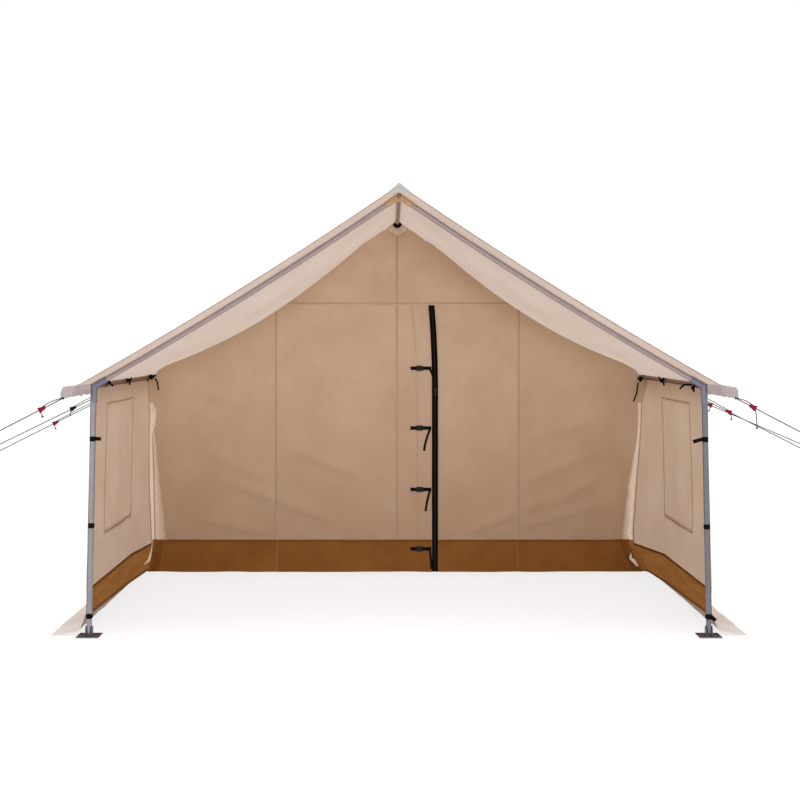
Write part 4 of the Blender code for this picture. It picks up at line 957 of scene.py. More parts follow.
# %% Shape of the door wall
ZIP_X, ZIP_WIDTH, ZIP_LEAN, ZIP_BEND_Z = 0.281, 0.046, 0.027, 1.40
STRAP_Z = (1.566, 1.121, 0.664, 0.222)
STRAP_START, STRAP_END = 0.097, 0.254
WALL_FACE = DOOR_Y + CANVAS / 2
WALL_REACH, TURN_X, CORNER_TOP = 1.85, 1.62, EAVE_Z - 0.0165
WALL_STEP, BAND_LIFT = 0.028, 0.0012
CREASES = (
    ((1.02, 1.392), (1.74, 1.466), 0.020, 0.004), ((1.05, 0.99), (1.60, 0.93), 0.020, 0.003),
    ((-1.66, 1.18), (-1.02, 1.21), 0.020, 0.003), ((-1.55, 0.62), (-0.98, 0.70), 0.020, 0.003),
    ((-0.80, 0.93), (-0.12, 0.97), 0.018, 0.003), ((0.36, 1.28), (0.83, 1.33), 0.018, 0.003),
    ((0.34, 0.74), (0.84, 0.70), 0.018, 0.003), ((-0.70, 1.55), (-0.20, 1.50), 0.018, 0.003),
    ((0.40, 1.74), (0.80, 1.66), 0.018, 0.003), ((-0.62, 0.48), (-0.15, 0.44), 0.018, 0.003),
    ((-0.33, 2.52), (-0.12, 2.16), 0.020, 0.003), ((0.30, 2.46), (0.16, 2.10), 0.020, 0.003),
    ((1.25, 1.90), (1.14, 1.50), 0.020, 0.003), ((-1.24, 1.92), (-1.12, 1.52), 0.020, 0.003),
    ((-1.40, 0.78), (-0.40, 0.40), 0.034, 0.022), ((-1.52, 0.46), (-0.92, 0.33), 0.028, 0.016),
    ((-0.84, 0.98), (-0.22, 0.75), 0.032, 0.018), ((-1.46, 0.96), (-0.95, 0.74), 0.030, 0.016),
    ((0.50, 0.33), (1.20, 0.62), 0.032, 0.022), ((0.70, 0.32), (1.50, 0.55), 0.028, 0.018),
    ((0.95, 0.71), (1.52, 0.97), 0.034, 0.020), ((1.04, 0.47), (1.54, 0.79), 0.028, 0.018),
    ((0.98, 1.06), (1.54, 1.18), 0.036, 0.014), ((-1.52, 1.42), (-1.00, 1.22), 0.036, 0.014),
)


def corner_x(side, z):
    return wall_point(side, ROOM_START, z, -CANVAS / 2).x


def zip_edge(z, sign):
    lean = max(0.0, (z - ZIP_BEND_Z) / (DOOR_TOP - ZIP_BEND_Z)) ** 2
    return ZIP_X - ZIP_LEAN * lean + sign * ZIP_WIDTH / 2


def creased(x, z):
    """How far the door cloth's face stands towards the porch."""
    height = sum(depth * crease(x, z, start, end, width) for start, end, width, depth in CREASES)
    return height + (0.0045 * ruffle(x, z, 0.30, 0.9, 2.2) + 0.0022 * ruffle(x, z, 0.12, 0.28, 7.5))


def from_doorway(x, z):
    """Distance from the lines of the doorway's sides and top."""
    return min(abs(x - DOOR_LEFT), abs(x - DOOR_RIGHT), abs(z - DOOR_TOP))


def wall_y(x, z):
    calm = 1.0
    if DOOR_LEFT - 0.05 < x < DOOR_RIGHT + 0.05 and z < DOOR_TOP + 0.06:
        calm = min(1.0, from_doorway(x, z) / 0.06)
    top = gable_top(min(abs(x), HALF_WIDTH))
    calm *= clamp((top - z) / 0.10) * clamp((z - DOOR_BAND_TOP) / 0.06)
    calm *= clamp((abs(corner_x(1 if x > 0 else -1, z)) - abs(x)) / 0.08)
    return WALL_FACE - creased(x, z) * calm


def door_top_at(x):
    if abs(x) >= HALF_WIDTH - 0.018:
        return CORNER_TOP
    return RIDGE_Z - 0.035 if abs(x) < 0.0155 else gable_top(abs(x))


def in_cut(u, v):
    """Below the slope and outside the doorway."""
    in_doorway = DOOR_LEFT < u < DOOR_RIGHT and v < DOOR_TOP
    return v - WALL_STEP / 2 < door_top_at(u) - MM and not in_doorway


def wall_spot(u, v):
    """The outer part of u follows the cloth out to its corners, wherever these hang."""
    z = min(v, door_top_at(u))
    x = u
    if abs(u) > TURN_X:
        side = -1 if u < 0 else 1
        reach = abs(corner_x(side, min(z, CORNER_TOP))) - TURN_X
        x = side * (TURN_X + reach * (abs(u) - TURN_X) / (WALL_REACH - TURN_X))
    return Vector((x, wall_y(x, z), z))


def at_foot(v):
    return 1.0 if v < DOOR_BOTTOM + 0.01 else 0.0


def band_spot(u, v):
    spot = wall_spot(u, v)
    wavy = 0.006 * ruffle(u, v, 0.22, 0.5, 3.3)
    out = wavy * min(1.0, (DOOR_BAND_TOP - v) / 0.08) * 0.4
    return Vector((spot.x, WALL_FACE - BAND_LIFT + out, v + wavy * 0.8 * at_foot(v)))


door_band_zs = spread(DOOR_BOTTOM + 0.003, DOOR_BAND_TOP, 0.03)
door_wall = cloth("door_wall_canvas", door_canvas,
                  spread(-WALL_REACH, WALL_REACH, 0.030, DOOR_LEFT, DOOR_RIGHT, -0.0155, 0.0,
                         0.0155, -TURN_X, TURN_X, 1.812, -1.812),
                  spread(DOOR_BAND_TOP - 2 * LAP, 2.66, WALL_STEP, DOOR_TOP), wall_spot, FRONT, in_cut)
wall_bands = [cloth(f"door_wall_band_{name}", band_cloth, spread(low, high, 0.03), door_band_zs,
                    band_spot, FRONT)
              for name, low, high in (("left", -WALL_REACH, DOOR_LEFT),
                                      ("right", DOOR_RIGHT, WALL_REACH))]
print("door wall", len(door_wall.data.polygons), "faces")

# %% [markdown]
# Two widths of canvas meet in flat seams, at the doorway's sides and up the middle of the
# gable. A straight seam crosses above the door, where the gable was sewn on. Rows of tan
# thread show along each. A small bound hole at the peak lets the ridge pole through, with a
# gathered patch of thin cloth below it that closes the gap round the pole.

# %% Seams of the door wall
THREAD_WIDTH, THREAD_THICK = 0.0012, 0.5 * MM
SEAM_ROWS = (("a", -0.0045), ("b", 0.0045))
BAND_EDGE_Z = DOOR_BAND_TOP - 0.004
BAND_EDGE = (0.012, BAND_LIFT, 2.4 * MM)
CLOTH_SEAM = (SEAM, 0.0006, 1.2 * MM)
SEAM_LINES = {
    "gable_across": [(-0.915, 2.051), (0.915, 2.051)],
    "gable_middle": [(-0.002, 2.058), (-0.002, 2.545)],
    "door_left": [(-0.903, 0.300), (-0.903, 2.062)],
    "door_right": [(0.906, 0.300), (0.906, 2.060)],
}


def running(line):
    """Lengths along a line at each of its points."""
    total = [0.0]
    for a, b in zip(line, line[1:]):
        total.append(total[-1] + (b - a).length)
    return total


def place_on(line, total, at):
    return Vector([reading(total, [p[n] for p in line], at) for n in range(len(line[0]))])


def strip_on(surface, name, finish, us, middle, width, lift, thick):
    """A strip on a cloth; middle(u) gives the (x, z) of its middle and which way it runs."""
    def place(u, v):
        (x, z), run = middle(u)
        run = run.normalized()
        x, z = x - run.y * v, z + run.x * v
        return Vector((x, surface(x, z) - lift, z))

    return cloth(name, finish, us, [-width / 2, 0.0, width / 2], place, FRONT, thick=thick)


def wall_strip(name, finish, line, width, lift, thick):
    """A strip on the door wall along (x, z) places."""
    line = [Vector(p) for p in line]
    total = running(line)
    long = total[-1]

    def middle(u):
        ahead, back = min(u + 0.01, long), max(u - 0.01, 0.0)
        return place_on(line, total, u), place_on(line, total, ahead) - place_on(line, total, back)

    return strip_on(wall_y, name, finish, spread(0.0, long, 0.025), middle, width, lift, thick)


seams = [wall_strip(f"seam_{name}", door_canvas, line, *CLOTH_SEAM)
         for name, line in SEAM_LINES.items()]
for name, line in SEAM_LINES.items():
    upright = line[0][0] == line[1][0]
    for row, shift in SEAM_ROWS:
        moved = [(x + (shift if upright else 0), z + (0 if upright else shift)) for x, z in line]
        seams.append(wall_strip(f"stitch_{name}_{row}", seam_thread, moved, THREAD_WIDTH, 0.0019,
                                THREAD_THICK))
wall_hem = [wall_strip(f"band_edge_{k}", band_cloth, [(a, BAND_EDGE_Z), (b, BAND_EDGE_Z)], *BAND_EDGE)
            for k, (a, b) in enumerate(((-1.70, DOOR_LEFT - 0.002), (DOOR_RIGHT + 0.002, 1.68)))]
settle("frame", "door_canvas", door_wall, *seams, stands_for=["door_wall"])
settle("frame", "splash_band", *wall_bands, *wall_hem)
print("seams", len(seams))

# %% [markdown]
# The collar is a ring of black binding round the pole. The patch below it is a soft scrap of
# pale cloth, gathered at the top and crumpled, so it needs fine folds that fan out.

# %% Pole collar and patch
COLLAR_INNER, COLLAR_OUTER = 0.0168, 0.032


def collar_spot(u, v):
    """A flat ring round the pole, cut off where it would come through the roof."""
    x = v * math.cos(math.tau * u)
    z = min(RIDGE_Z + v * math.sin(math.tau * u), roof_line(x) - 0.004)
    return Vector((x, WALL_FACE - 0.030, z))


def patch_spot(u, v):
    """u across from -1 to 1, v down from 0 to 1; a heart shape hanging from the collar."""
    half = 0.071 * math.sin(math.pi * min(1.0, 0.16 + 0.62 * v) ** 0.9) ** 0.8
    x = u * half * (1.0 - 0.55 * v ** 3) + 0.002
    z = RIDGE_Z - 0.014 - v * (0.080 - 0.016 * abs(u) ** 1.5)
    depth = 0.008 * math.cos(9 * u + 6 * v) * (0.4 + v) + 0.010 * ruffle(u, v, 0.22, 0.2, 4.0)
    return Vector((x, WALL_FACE - 0.010 - abs(depth), z))


collar = cloth("pole_collar", webbing, spread(0.0, 1.0, 1 / 24),
               spread(COLLAR_INNER, COLLAR_OUTER, (COLLAR_OUTER - COLLAR_INNER) / 2),
               collar_spot, FRONT, thick=22.0 * MM)
patch = cloth("gathered_patch", lining_cloth, spread(-1.0, 1.0, 0.06), spread(0.0, 1.0, 0.06),
              patch_spot, FRONT)
settle("frame", "black_webbing", collar)
settle("frame", "roof_canvas", patch)
print("collar and patch")

# %% [markdown]
# The door is two cloths that meet at the zip. Near the zip and under the straps the cloth is
# flat, because tape and straps stiffen it; further out it hangs in slow vertical folds. The
# brown band runs on across both, so the foot of the wall looks like one strip.

# %% Door cloths
SEAM_X = {-1: DOOR_LEFT, 1: DOOR_RIGHT}
GAP = 0.0003
MIDDLE_X, TRIM_LOW, TRIM_HIGH = -0.002, 0.30, 2.03


def leaf_fold(x, z):
    edge = min(abs(x - DOOR_LEFT), abs(x - DOOR_RIGHT), abs(x - STRAP_END), abs(x))
    quiet = 0.0 if 0.0 < x < DOOR_RIGHT / 2 else min(1.0, edge / STRAP_END)
    return 0.006 * quiet * math.sin(math.pi * clamp(z / DOOR_TOP)) * math.sin(math.pi * x / STRAP_END)


def leaf_y(x, z):
    near = from_doorway(x, z)
    near = min(near, max(0.0, abs(x - zip_edge(z, 0)) - 0.03) if x > 0.05 else 1.0)
    if 0.06 < x < 0.30:
        near = min(near, min(abs(z - s) for s in STRAP_Z) - 0.025, 1.0)
    calm = clamp(near / 0.05) * clamp((z - DOOR_BAND_TOP) / 0.06)
    return WALL_FACE - leaf_fold(x, z) - max(-0.002, creased(x, z)) * calm


def leaf_spot(side, u, v):
    seam = SEAM_X[side] - side * GAP
    x = seam + (zip_edge(v, side) + side * GAP - seam) * u
    return Vector((x, leaf_y(x, v), v))


def leaf_band_spot(side, u, v):
    spot = leaf_spot(side, u, v)
    wavy = 0.005 * ruffle(spot.x, v, 0.24, 0.5, 3.3) * at_foot(v)
    return Vector((spot.x, min(spot.y, WALL_FACE) - BAND_LIFT, v + wavy))


def leaf_strip(name, finish, points, width, lift, thick):
    """A strip on a door cloth along (x, z) places."""
    points = [Vector(p) for p in points]

    def middle(u):
        at = u * (len(points) - 1)
        k = min(int(at), len(points) - 2)
        run = points[k + 1] - points[k]
        return points[k] + run * (at - k), run

    return strip_on(leaf_y, name, finish, spread(0.0, 1.0, 1 / 60), middle, width, lift, thick)


def leaf_thread(name, points, lift):
    return leaf_strip(name, seam_thread, points, THREAD_WIDTH, lift, THREAD_THICK)


def upright_line(x):
    return [(x, TRIM_LOW), (x, TRIM_HIGH)]


FACING_LINE = [(0.105, 2.030), (0.118, 1.930), (0.126, 1.850), (0.138, 1.700), (0.146, 1.560),
               (0.150, 1.200), (0.152, 0.300)]
trims = {-1: [leaf_strip("middle_seam", door_canvas, upright_line(MIDDLE_X), *CLOTH_SEAM)], 1: []}
trims[-1] += [leaf_thread(f"middle_stitch_{row}", upright_line(MIDDLE_X + shift), 0.0019)
              for row, shift in SEAM_ROWS]
trims[-1] += [leaf_strip("facing_seam", door_canvas, FACING_LINE, 0.010, 0.0004, 1.6 * MM),
              leaf_thread("facing_stitch", FACING_LINE, 0.0014)]
for side_name, side in SIDES:
    beside_zip = [(zip_edge(z, side) + side * 0.010, z) for z in
                  [TRIM_LOW + (TRIM_HIGH - TRIM_LOW) * k / 12 for k in range(13)]]
    trims[side].append(leaf_thread(f"zip_stitch_{side_name}", beside_zip, 0.0017))
    ends = sorted((SEAM_X[side] - side * 0.004, zip_edge(0.3, side) + side * 0.003))
    band_edge = leaf_strip(f"band_edge_{side_name}", band_cloth, [(x, BAND_EDGE_Z) for x in ends],
                           *BAND_EDGE)
    width = abs(zip_edge(1.0, side) - SEAM_X[side])
    us = spread(0.0, 1.0, 0.026 / width)
    leaf = cloth(f"door_cloth_{side_name}", door_canvas, us,
                 spread(DOOR_BAND_TOP - 2 * LAP, DOOR_TOP - 0.0004, 0.026),
                 partial(leaf_spot, side), FRONT, wide=width)
    foot = cloth(f"door_cloth_band_{side_name}", band_cloth, us, door_band_zs,
                 partial(leaf_band_spot, side), FRONT, wide=width)
    body = f"door_leaf_{side_name}"
    settle(body, "door_canvas", leaf, *trims[side], stands_for=[body])
    settle(body, "splash_band", foot, band_edge)
    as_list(trims[side])
    print("door cloth", side_name, round(width, 3), "m wide with", len(trims[side]), "strips")

# %% [markdown]
# A coil zip closes the door from top to bottom. Its two woven tapes lie under a black cover
# band, and the nylon coils meet in a narrow ridge down the middle. The ridge is a strip with
# many small cross ribs, so it is one long mesh with a toothed surface.

# %% Zip
ZIP_LOW, ZIP_HIGH, COIL_ROWS = DOOR_BOTTOM + 0.003, DOOR_TOP - 0.0005, 660
ZIP_LONG = ZIP_HIGH - ZIP_LOW
COIL_HALF, COIL_EDGE, COIL_LOW, COIL_HIGH = 0.0032, 0.0008, 0.0014, 0.0022


def zip_spot(u, v, lift):
    return Vector((zip_edge(v, 0) + u, DOOR_Y - lift, v))


def coil_spot(u, v):
    """Every other row of the coil stands higher; its edges lie on the tape."""
    if abs(u) > COIL_HALF:
        return zip_spot(u, v, COIL_EDGE)
    tooth = round((v - ZIP_LOW) * COIL_ROWS / ZIP_LONG) % 2
    return zip_spot(u, v, COIL_HIGH if tooth else COIL_LOW)


tape = cloth("zip_band_cloth", zip_tape, spread(-ZIP_WIDTH / 2, ZIP_WIDTH / 2, 0.0115),
             spread(ZIP_LOW, ZIP_HIGH, 0.03),
             lambda u, v: zip_spot(u, v, 0.0001 + 0.0006 * (1 - (2 * u / ZIP_WIDTH) ** 2)), FRONT,
             thick=1.6 * MM)
coil = cloth("zip_coil", buckle_plastic, [-0.0040, -COIL_HALF, 0.0, COIL_HALF, 0.0040],
             [ZIP_LOW + ZIP_LONG * k / COIL_ROWS for k in range(COIL_ROWS + 1)], coil_spot, FRONT)
threads = [cloth(f"zip_thread_{row}", zip_tape, [x - THREAD_WIDTH / 2, x + THREAD_WIDTH / 2],
                 spread(ZIP_LOW, ZIP_HIGH, 0.05), lambda u, v: zip_spot(u, v, 0.0012), FRONT,
                 thick=THREAD_THICK)
           for row, x in (("a", -0.0175), ("b", 0.0175))]
settle("door_leaf_right", "black_webbing", tape, coil, *threads, stands_for=["door_zip_band"])
print("zip", len(coil.data.polygons), "coil faces")

# %% [markdown]
# Four straps can hold the door shut when the zip is open. Each has a webbing loop sewn to the
# left cloth, a side-release buckle, and a second webbing on the other cloth whose loose end
# hangs down. The housing is a hollow moulding with arched top and bottom edges and a slot on
# each side, where the prongs' shoulders show. The webbing is folded over the buckle's bar.

# %% Shaping tools for small solids
def edit_cube(name, low, high, finish):
    """A block between two corners, ready to be shaped in edit mode."""
    bpy.ops.mesh.primitive_cube_add(size=1.0)
    made = bpy.context.object
    made.name = made.data.name = name
    for vert in made.data.vertices:
        vert.co = [low[n] + (high[n] - low[n]) * (vert.co[n] + 0.5) for n in range(3)]
    made.data.materials.clear()
    made.data.materials.append(finish)
    return made


def pick(made, test, kind="FACE"):
    """Select the faces whose middle and normal, or edges whose middle and run, pass a test."""
    bpy.ops.object.mode_set(mode="EDIT")
    bpy.ops.mesh.select_mode(type=kind)
    bpy.ops.mesh.select_all(action="DESELECT")
    work = bmesh.from_edit_mesh(made.data)
    if kind == "FACE":
        found = [(face, face.calc_center_median(), face.normal) for face in work.faces]
    else:
        ends = [(edge, edge.verts[0].co, edge.verts[1].co) for edge in work.edges]
        found = [(edge, (a + b) / 2, (b - a).normalized()) for edge, a, b in ends]
    for part, middle, way in found:
        if test(middle, way):
            part.select_set(True)
    bmesh.update_edit_mesh(made.data)


def inset(thickness, depth=0.0):
    bpy.ops.mesh.inset(thickness=thickness, depth=depth)


def push(*value):
    bpy.ops.mesh.extrude_region_move(TRANSFORM_OT_translate={"value": value})


def bevel(made, test, offset, segments):
    """Round the edges that pass a test."""
    pick(made, test, "EDGE")
    bpy.ops.mesh.bevel(offset=offset, segments=segments, affect="EDGES")


def done(made):
    bpy.ops.object.mode_set(mode="OBJECT")
    made.data.shade_smooth()
    made.data.set_sharp_from_angle(angle=math.radians(35))
    return made


print("shaping tools ready")


# %% Buckles
HOUSING_X, HOUSING_L, HOUSING_H, HOUSING_T = 0.140, 0.034, 0.038, 0.009
TONGUE_L = 0.018
BUCKLE_FRONT = DOOR_Y - GAP
HALF_H, MOUTH = HOUSING_H / 2, HOUSING_X + HOUSING_L


def buckle_housing(number, z):
    """Hollow female half: chamfered block, waisted sides, open mouth and a sunk panel."""
    face_y = BUCKLE_FRONT - HOUSING_T
    made = edit_cube(f"buckle_housing_{number}", (HOUSING_X, face_y, z - HALF_H),
                     (MOUTH, BUCKLE_FRONT, z + HALF_H), buckle_plastic)
    pick(made, lambda c, n: n.x > 0.9)
    inset(0.0022)
    push(-0.022, 0, 0)
    pick(made, lambda c, n: n.y < -0.9)
    inset(0.0055)
    inset(0.0012, -0.0008)
    pick(made, lambda c, n: n.x < -0.9 and abs(c.x - HOUSING_X) < 0.001)
    inset(0.0060)
    push(0.003, 0, 0)
    bevel(made, lambda c, d: abs(d.y) > 0.9 and abs(c.x - HOUSING_X) < 0.0005
          and abs(abs(c.z - z) - HALF_H) < 0.0005, 0.0045, 4)
    bevel(made, lambda c, d: abs(c.y - face_y) < 0.0002
          and (abs(abs(c.z - z) - HALF_H) < 0.0006 or c.x > MOUTH - 0.0005), 0.0012, 2)
    return done(made)


def buckle_fork(number, z):
    """Male half: a head with a bar slot and two prongs with rounded shoulders."""
    start = MOUTH + 0.0003
    tip = start + TONGUE_L
    centre_y = BUCKLE_FRONT - HOUSING_T / 2
    made = edit_cube(f"buckle_fork_{number}", (start, centre_y - 0.0034, z - HALF_H),
                     (tip, centre_y + 0.0030, z + HALF_H), buckle_plastic)
    pick(made, lambda c, n: n.y < -0.9)
    inset(0.0045)
    push(0, 0.0045, 0)
    bevel(made, lambda c, d: abs(d.y) > 0.9 and c.x > tip - 0.0005
          and abs(abs(c.z - z) - HALF_H) < 0.0005, 0.004, 4)
    bevel(made, lambda c, d: abs(c.y - (centre_y - 0.0034)) < 0.0002
          and (abs(abs(c.z - z) - HALF_H) < 0.0006 or c.x > tip - 0.0006), 0.0010, 2)
    prongs = [done(made)]
    for sign in (-1, 1):
        middle = z + sign * 0.011
        prong = edit_cube(f"prong_{number}_{sign}", (start - 0.0205, centre_y - 0.0015, middle - 0.002),
                          (start + 0.0002, centre_y + 0.0015, middle + 0.002), buckle_plastic)
        bevel(prong, lambda c, d: abs(d.y) > 0.9 and c.x < start - 0.02, 0.0015, 3)
        prongs.append(done(prong))
    select_only(made)
    for piece in prongs:
        piece.select_set(True)
    bpy.ops.object.join()
    return made


print("buckles are", round(HOUSING_L + TONGUE_L, 3), "m long")


# %% Straps
WEB_H, WEB_T, WEB_STEP = 0.028, 0.002, 0.0016
TAIL_W = 0.018
TAIL_LENGTH = (0.045, 0.158, 0.150, 0.140)
TAIL_SWAY = (-0.020, 0.044, 0.032, -0.010)


def ribbon(name, places, width, thick, rounds, reach, step, rows):
    """Webbing along (x, y, z) places, its width square to the run and flat to the door."""
    line = smoothed(places, rounds)
    total = running(line)
    long = total[-1]

    def place(u, v):
        ahead, back = min(u + reach, long), max(u - reach, 0.0)
        run = place_on(line, total, ahead) - place_on(line, total, back)
        return place_on(line, total, u) + Vector(BACK).cross(run).normalized() * v

    made = cloth(name, webbing, spread(0.0, long, step), spread(-width / 2, width / 2, width / rows),
                 place, FRONT, thick=thick)
    return made, round(long, 4)


def web_strip(name, places, width):
    return ribbon(name, places, width, WEB_T - 0.0004, 4, 0.003, 0.006, 4)


for number, z in enumerate(STRAP_Z, 1):
    mid_y = BUCKLE_FRONT - 0.0022
    far_y = DOOR_Y - WEB_STEP - WEB_T / 2 - GAP
    start = MOUTH + TONGUE_L
    tail_x, tail_y, tail_z = STRAP_END - TAIL_W / 2 - MM, far_y - 0.0004, z - WEB_H / 2
    drop, sway = TAIL_LENGTH[number - 1], TAIL_SWAY[number - 1]
    near_web, near_length = web_strip(
        f"near_web_{number}", [(STRAP_START + MM, mid_y, z), (0.118, mid_y, z),
                               (HOUSING_X + 0.002, mid_y - 0.0008, z)], WEB_H - 0.002)
    housing, fork = buckle_housing(number, z), buckle_fork(number, z)
    far_web, far_length = web_strip(
        f"far_web_{number}", [(start - 0.006, far_y - 0.0022, z), (start + 0.010, far_y - 0.0006, z),
                              (STRAP_END - MM, far_y, z)], WEB_H - 0.002)
    hang, hang_length = web_strip(
        f"strap_tail_{number}", [(tail_x, tail_y, tail_z + 0.006),
                                 (tail_x - 0.45 * sway, tail_y - 0.0008, tail_z - 0.3 * drop),
                                 (tail_x - 0.85 * sway, tail_y + 0.0002, tail_z - 0.7 * drop),
                                 (tail_x - sway, tail_y, tail_z - drop + 0.002)], TAIL_W - 0.002)
    fold = cloth(f"tail_hem_{number}", webbing, spread(-TAIL_W / 2 + MM, TAIL_W / 2 - MM, 0.004),
                 spread(0.0, 0.012, 0.006),
                 lambda u, v: Vector((tail_x - sway + u, tail_y - 0.0006, tail_z - drop + 0.003 + v)),
                 FRONT, thick=2.0 * MM)
    tongue = f"buckle_tongue_{number}"
    settle("door_leaf_left", "black_plastic", housing, stands_for=[f"door_strap_{number}"])
    settle("door_leaf_left", "black_webbing", near_web)
    settle(tongue, "black_plastic", fork, stands_for=[tongue])
    settle(tongue, "black_webbing", far_web, hang, fold)
print("buckles and straps at", len(STRAP_Z), "heights")

# %% [markdown]
# At the corners between porch wall and door wall runs a facing of thin pale cloth. Daylight
# comes through it from outside, and its very pale colour and strong glow paint the daylight of
# the slit there as a bright line. Beside it the lining is gathered on the door wall and crumpled
# by its seam; its paler tone, fading to the canvas further in, is painted light from the slit.
# At the foot the brown band closes the corner, with a loose pale end lying in it; at the top a
# gusset of door canvas does.

# %% Corner facings
FOLD_START = {-1: ((0.29, 0.44, 0.96, 1.10), (0.013, 0.012, 0.014, 0.004)),
              1: ((0.29, 1.10), (0.0, 0.0))}
FOLD_WIDTH = {-1: ((0.29, 0.44, 0.72, 0.96, 1.10), (0.078, 0.068, 0.040, 0.026, 0.020)),
              1: ((0.29, 0.50, 0.96, 1.10), (0.050, 0.036, 0.012, 0.008))}
FOLD_DEPTH = {-1: 0.010, 1: 0.005}
FOOT_TURN = 0.4


def crumple(z, u, side):
    """Random height between about -1 and 1, in short folds that run across a strip."""
    return (ruffle(z, u, 0.020, 0.55, 3.0 + side) + 0.8 * ruffle(z, u, 0.043, 0.45, 8.0 + side)
            + 0.4 * ruffle(z, u, 0.011, 0.3, 12.0))


def porch_edge(side, z):
    return wall_point(side, PORCH_END - 0.004, z, -0.0012)


def corner(side, z, inwards, forwards):
    """A place in from the door wall's corner and out towards the porch."""
    return Vector((corner_x(side, z) - side * inwards, DOOR_Y - forwards, z))


def slit_spot(side, u, z):
    """From the porch wall's rear edge, u = 0, to the door wall's corner, u = 1."""
    deep = 0.008 if side > 0 or z > 1.13 else 0.002
    out = Vector((-side * 0.5, -0.87, 0)) * deep * crumple(z, u, side) * (0.3 + 2.8 * u * (1 - u))
    return porch_edge(side, z).lerp(corner(side, z, 0.002, 0.003), u) + out


def fold_spot(side, u, z):
    """The gathered lining on the door wall: u runs inwards from 0 to 1."""
    x = abs(corner_x(side, z)) - reading(*FOLD_START[side], z) - reading(*FOLD_WIDTH[side], z) * u
    x -= 0.004 * u * ruffle(z, 0.0, 0.03, 1.0, 5.5 + side)
    rise = FOLD_DEPTH[side] * math.sin(math.pi * min(1.0, 0.06 + u * 0.94)) ** 0.8
    rough = 0.010 * crumple(z, u, side + 4) * min(1.0, 5 * u) * (1 - u) ** 0.6
    return Vector((side * x, wall_y(side * x, z) - 0.0018 - rise - abs(rough), z))


def foot_spot(side, u, z):
    """The band's cloth in the corner, from the porch wall in along the door wall."""
    if u < FOOT_TURN:
        spot = porch_edge(side, z).lerp(corner(side, z, 0.0, 0.004), u / FOOT_TURN)
    else:
        spot = corner(side, z, 0.075 * (u - FOOT_TURN) / (1 - FOOT_TURN), 0.004)
    rough = 0.022 * abs(ruffle(z, u, 0.045, 0.30, 21.0)) + 0.006 * abs(crumple(z, u, side + 9))
    return spot + Vector((-side * 0.3, -1, 0)) * rough * math.sin(math.pi * min(1.0, u + 0.02))


def gusset_spot(side, u, z):
    out = Vector((0, -0.006 * math.sin(math.pi * u), 0))
    return porch_edge(side, z).lerp(corner(side, z, 0.014, 0.006), u) + out


CORNER_PIECES = (
    ("facing", slit_daylight_cloth, slit_spot, 0.292, 1.325, 0.0035, "door_canvas", (0.043, 0.043)),
    ("lining", slit_lit_lining_cloth, fold_spot, 0.292, 1.100, 0.0035, "door_canvas", (0.065, 0.036)),
    ("foot", band_cloth, foot_spot, 0.058, 0.294, 0.006, "splash_band", (0.120, 0.120)),
    ("gusset", door_canvas, gusset_spot, 1.312, EAVE_Z - 0.02, 0.015, "door_canvas", (0.045, 0.045)),
)
for side_name, side in SIDES:
    for label, finish, spot, low, high, step, slot, widths in CORNER_PIECES:
        piece = cloth(f"corner_{label}_{side_name}", finish, spread(0.0, 1.0, 0.1, FOOT_TURN),
                      spread(low, high, step), partial(spot, side), FRONT,
                      wide=widths[0])
        settle("frame", slot, piece)
        print(label, side_name, len(piece.data.polygons), "faces")

# %% Loose ends in the corners
SCRAPS = {-1: ((-1.817, -0.560, 0.290, 0.006), (-1.821, -0.562, 0.220, 0.010),
               (-1.8326, -0.600, 0.152, 0.020), (-1.850, -0.680, 0.134, 0.006)),
          1: ((1.728, -0.585, 0.205, 0.006), (1.722, -0.585, 0.165, 0.022),
              (1.748, -0.590, 0.140, 0.030), (1.778, -0.590, 0.104, 0.006))}


def scrap_spot(rows, u, v):
    """A crumpled narrow end of cloth; u along its rows, v across from -1 to 1."""
    at = u * (len(rows) - 1)
    x, y, z, width = [reading(range(len(rows)), [row[n] for row in rows], at) for n in range(4)]
    k = min(int(at), len(rows) - 2)
    run = Vector((rows[k + 1][0] - rows[k][0], rows[k + 1][2] - rows[k][2])).normalized()
    across = v * width * (1 + 0.5 * ruffle(u, v, 0.16, 3.0, 41.0)) / 2
    rough = 0.006 * ruffle(u * 0.2, v, 0.016, 0.7, 31.0)
    return Vector((x - run.y * across, y - abs(rough), z + run.x * across + rough * 0.5))


for side_name, side in SIDES:
    scrap = cloth(f"corner_scrap_{side_name}", lining_cloth, spread(0.0, 1.0, 0.03),
                  spread(-1.0, 1.0, 0.25), partial(scrap_spot, SCRAPS[side]), FRONT)
    settle("frame", "door_canvas", scrap)
print("corner pieces", 2 * len(CORNER_PIECES) + 2)

# %% [markdown]
# The porch walls hang from the eave poles by black tape ties, each wound once round the pole
# and knotted, with the ends left loose. Lower down, a tape loop with a hook-and-loop tab
# holds the wall's front edge to the post at three heights.

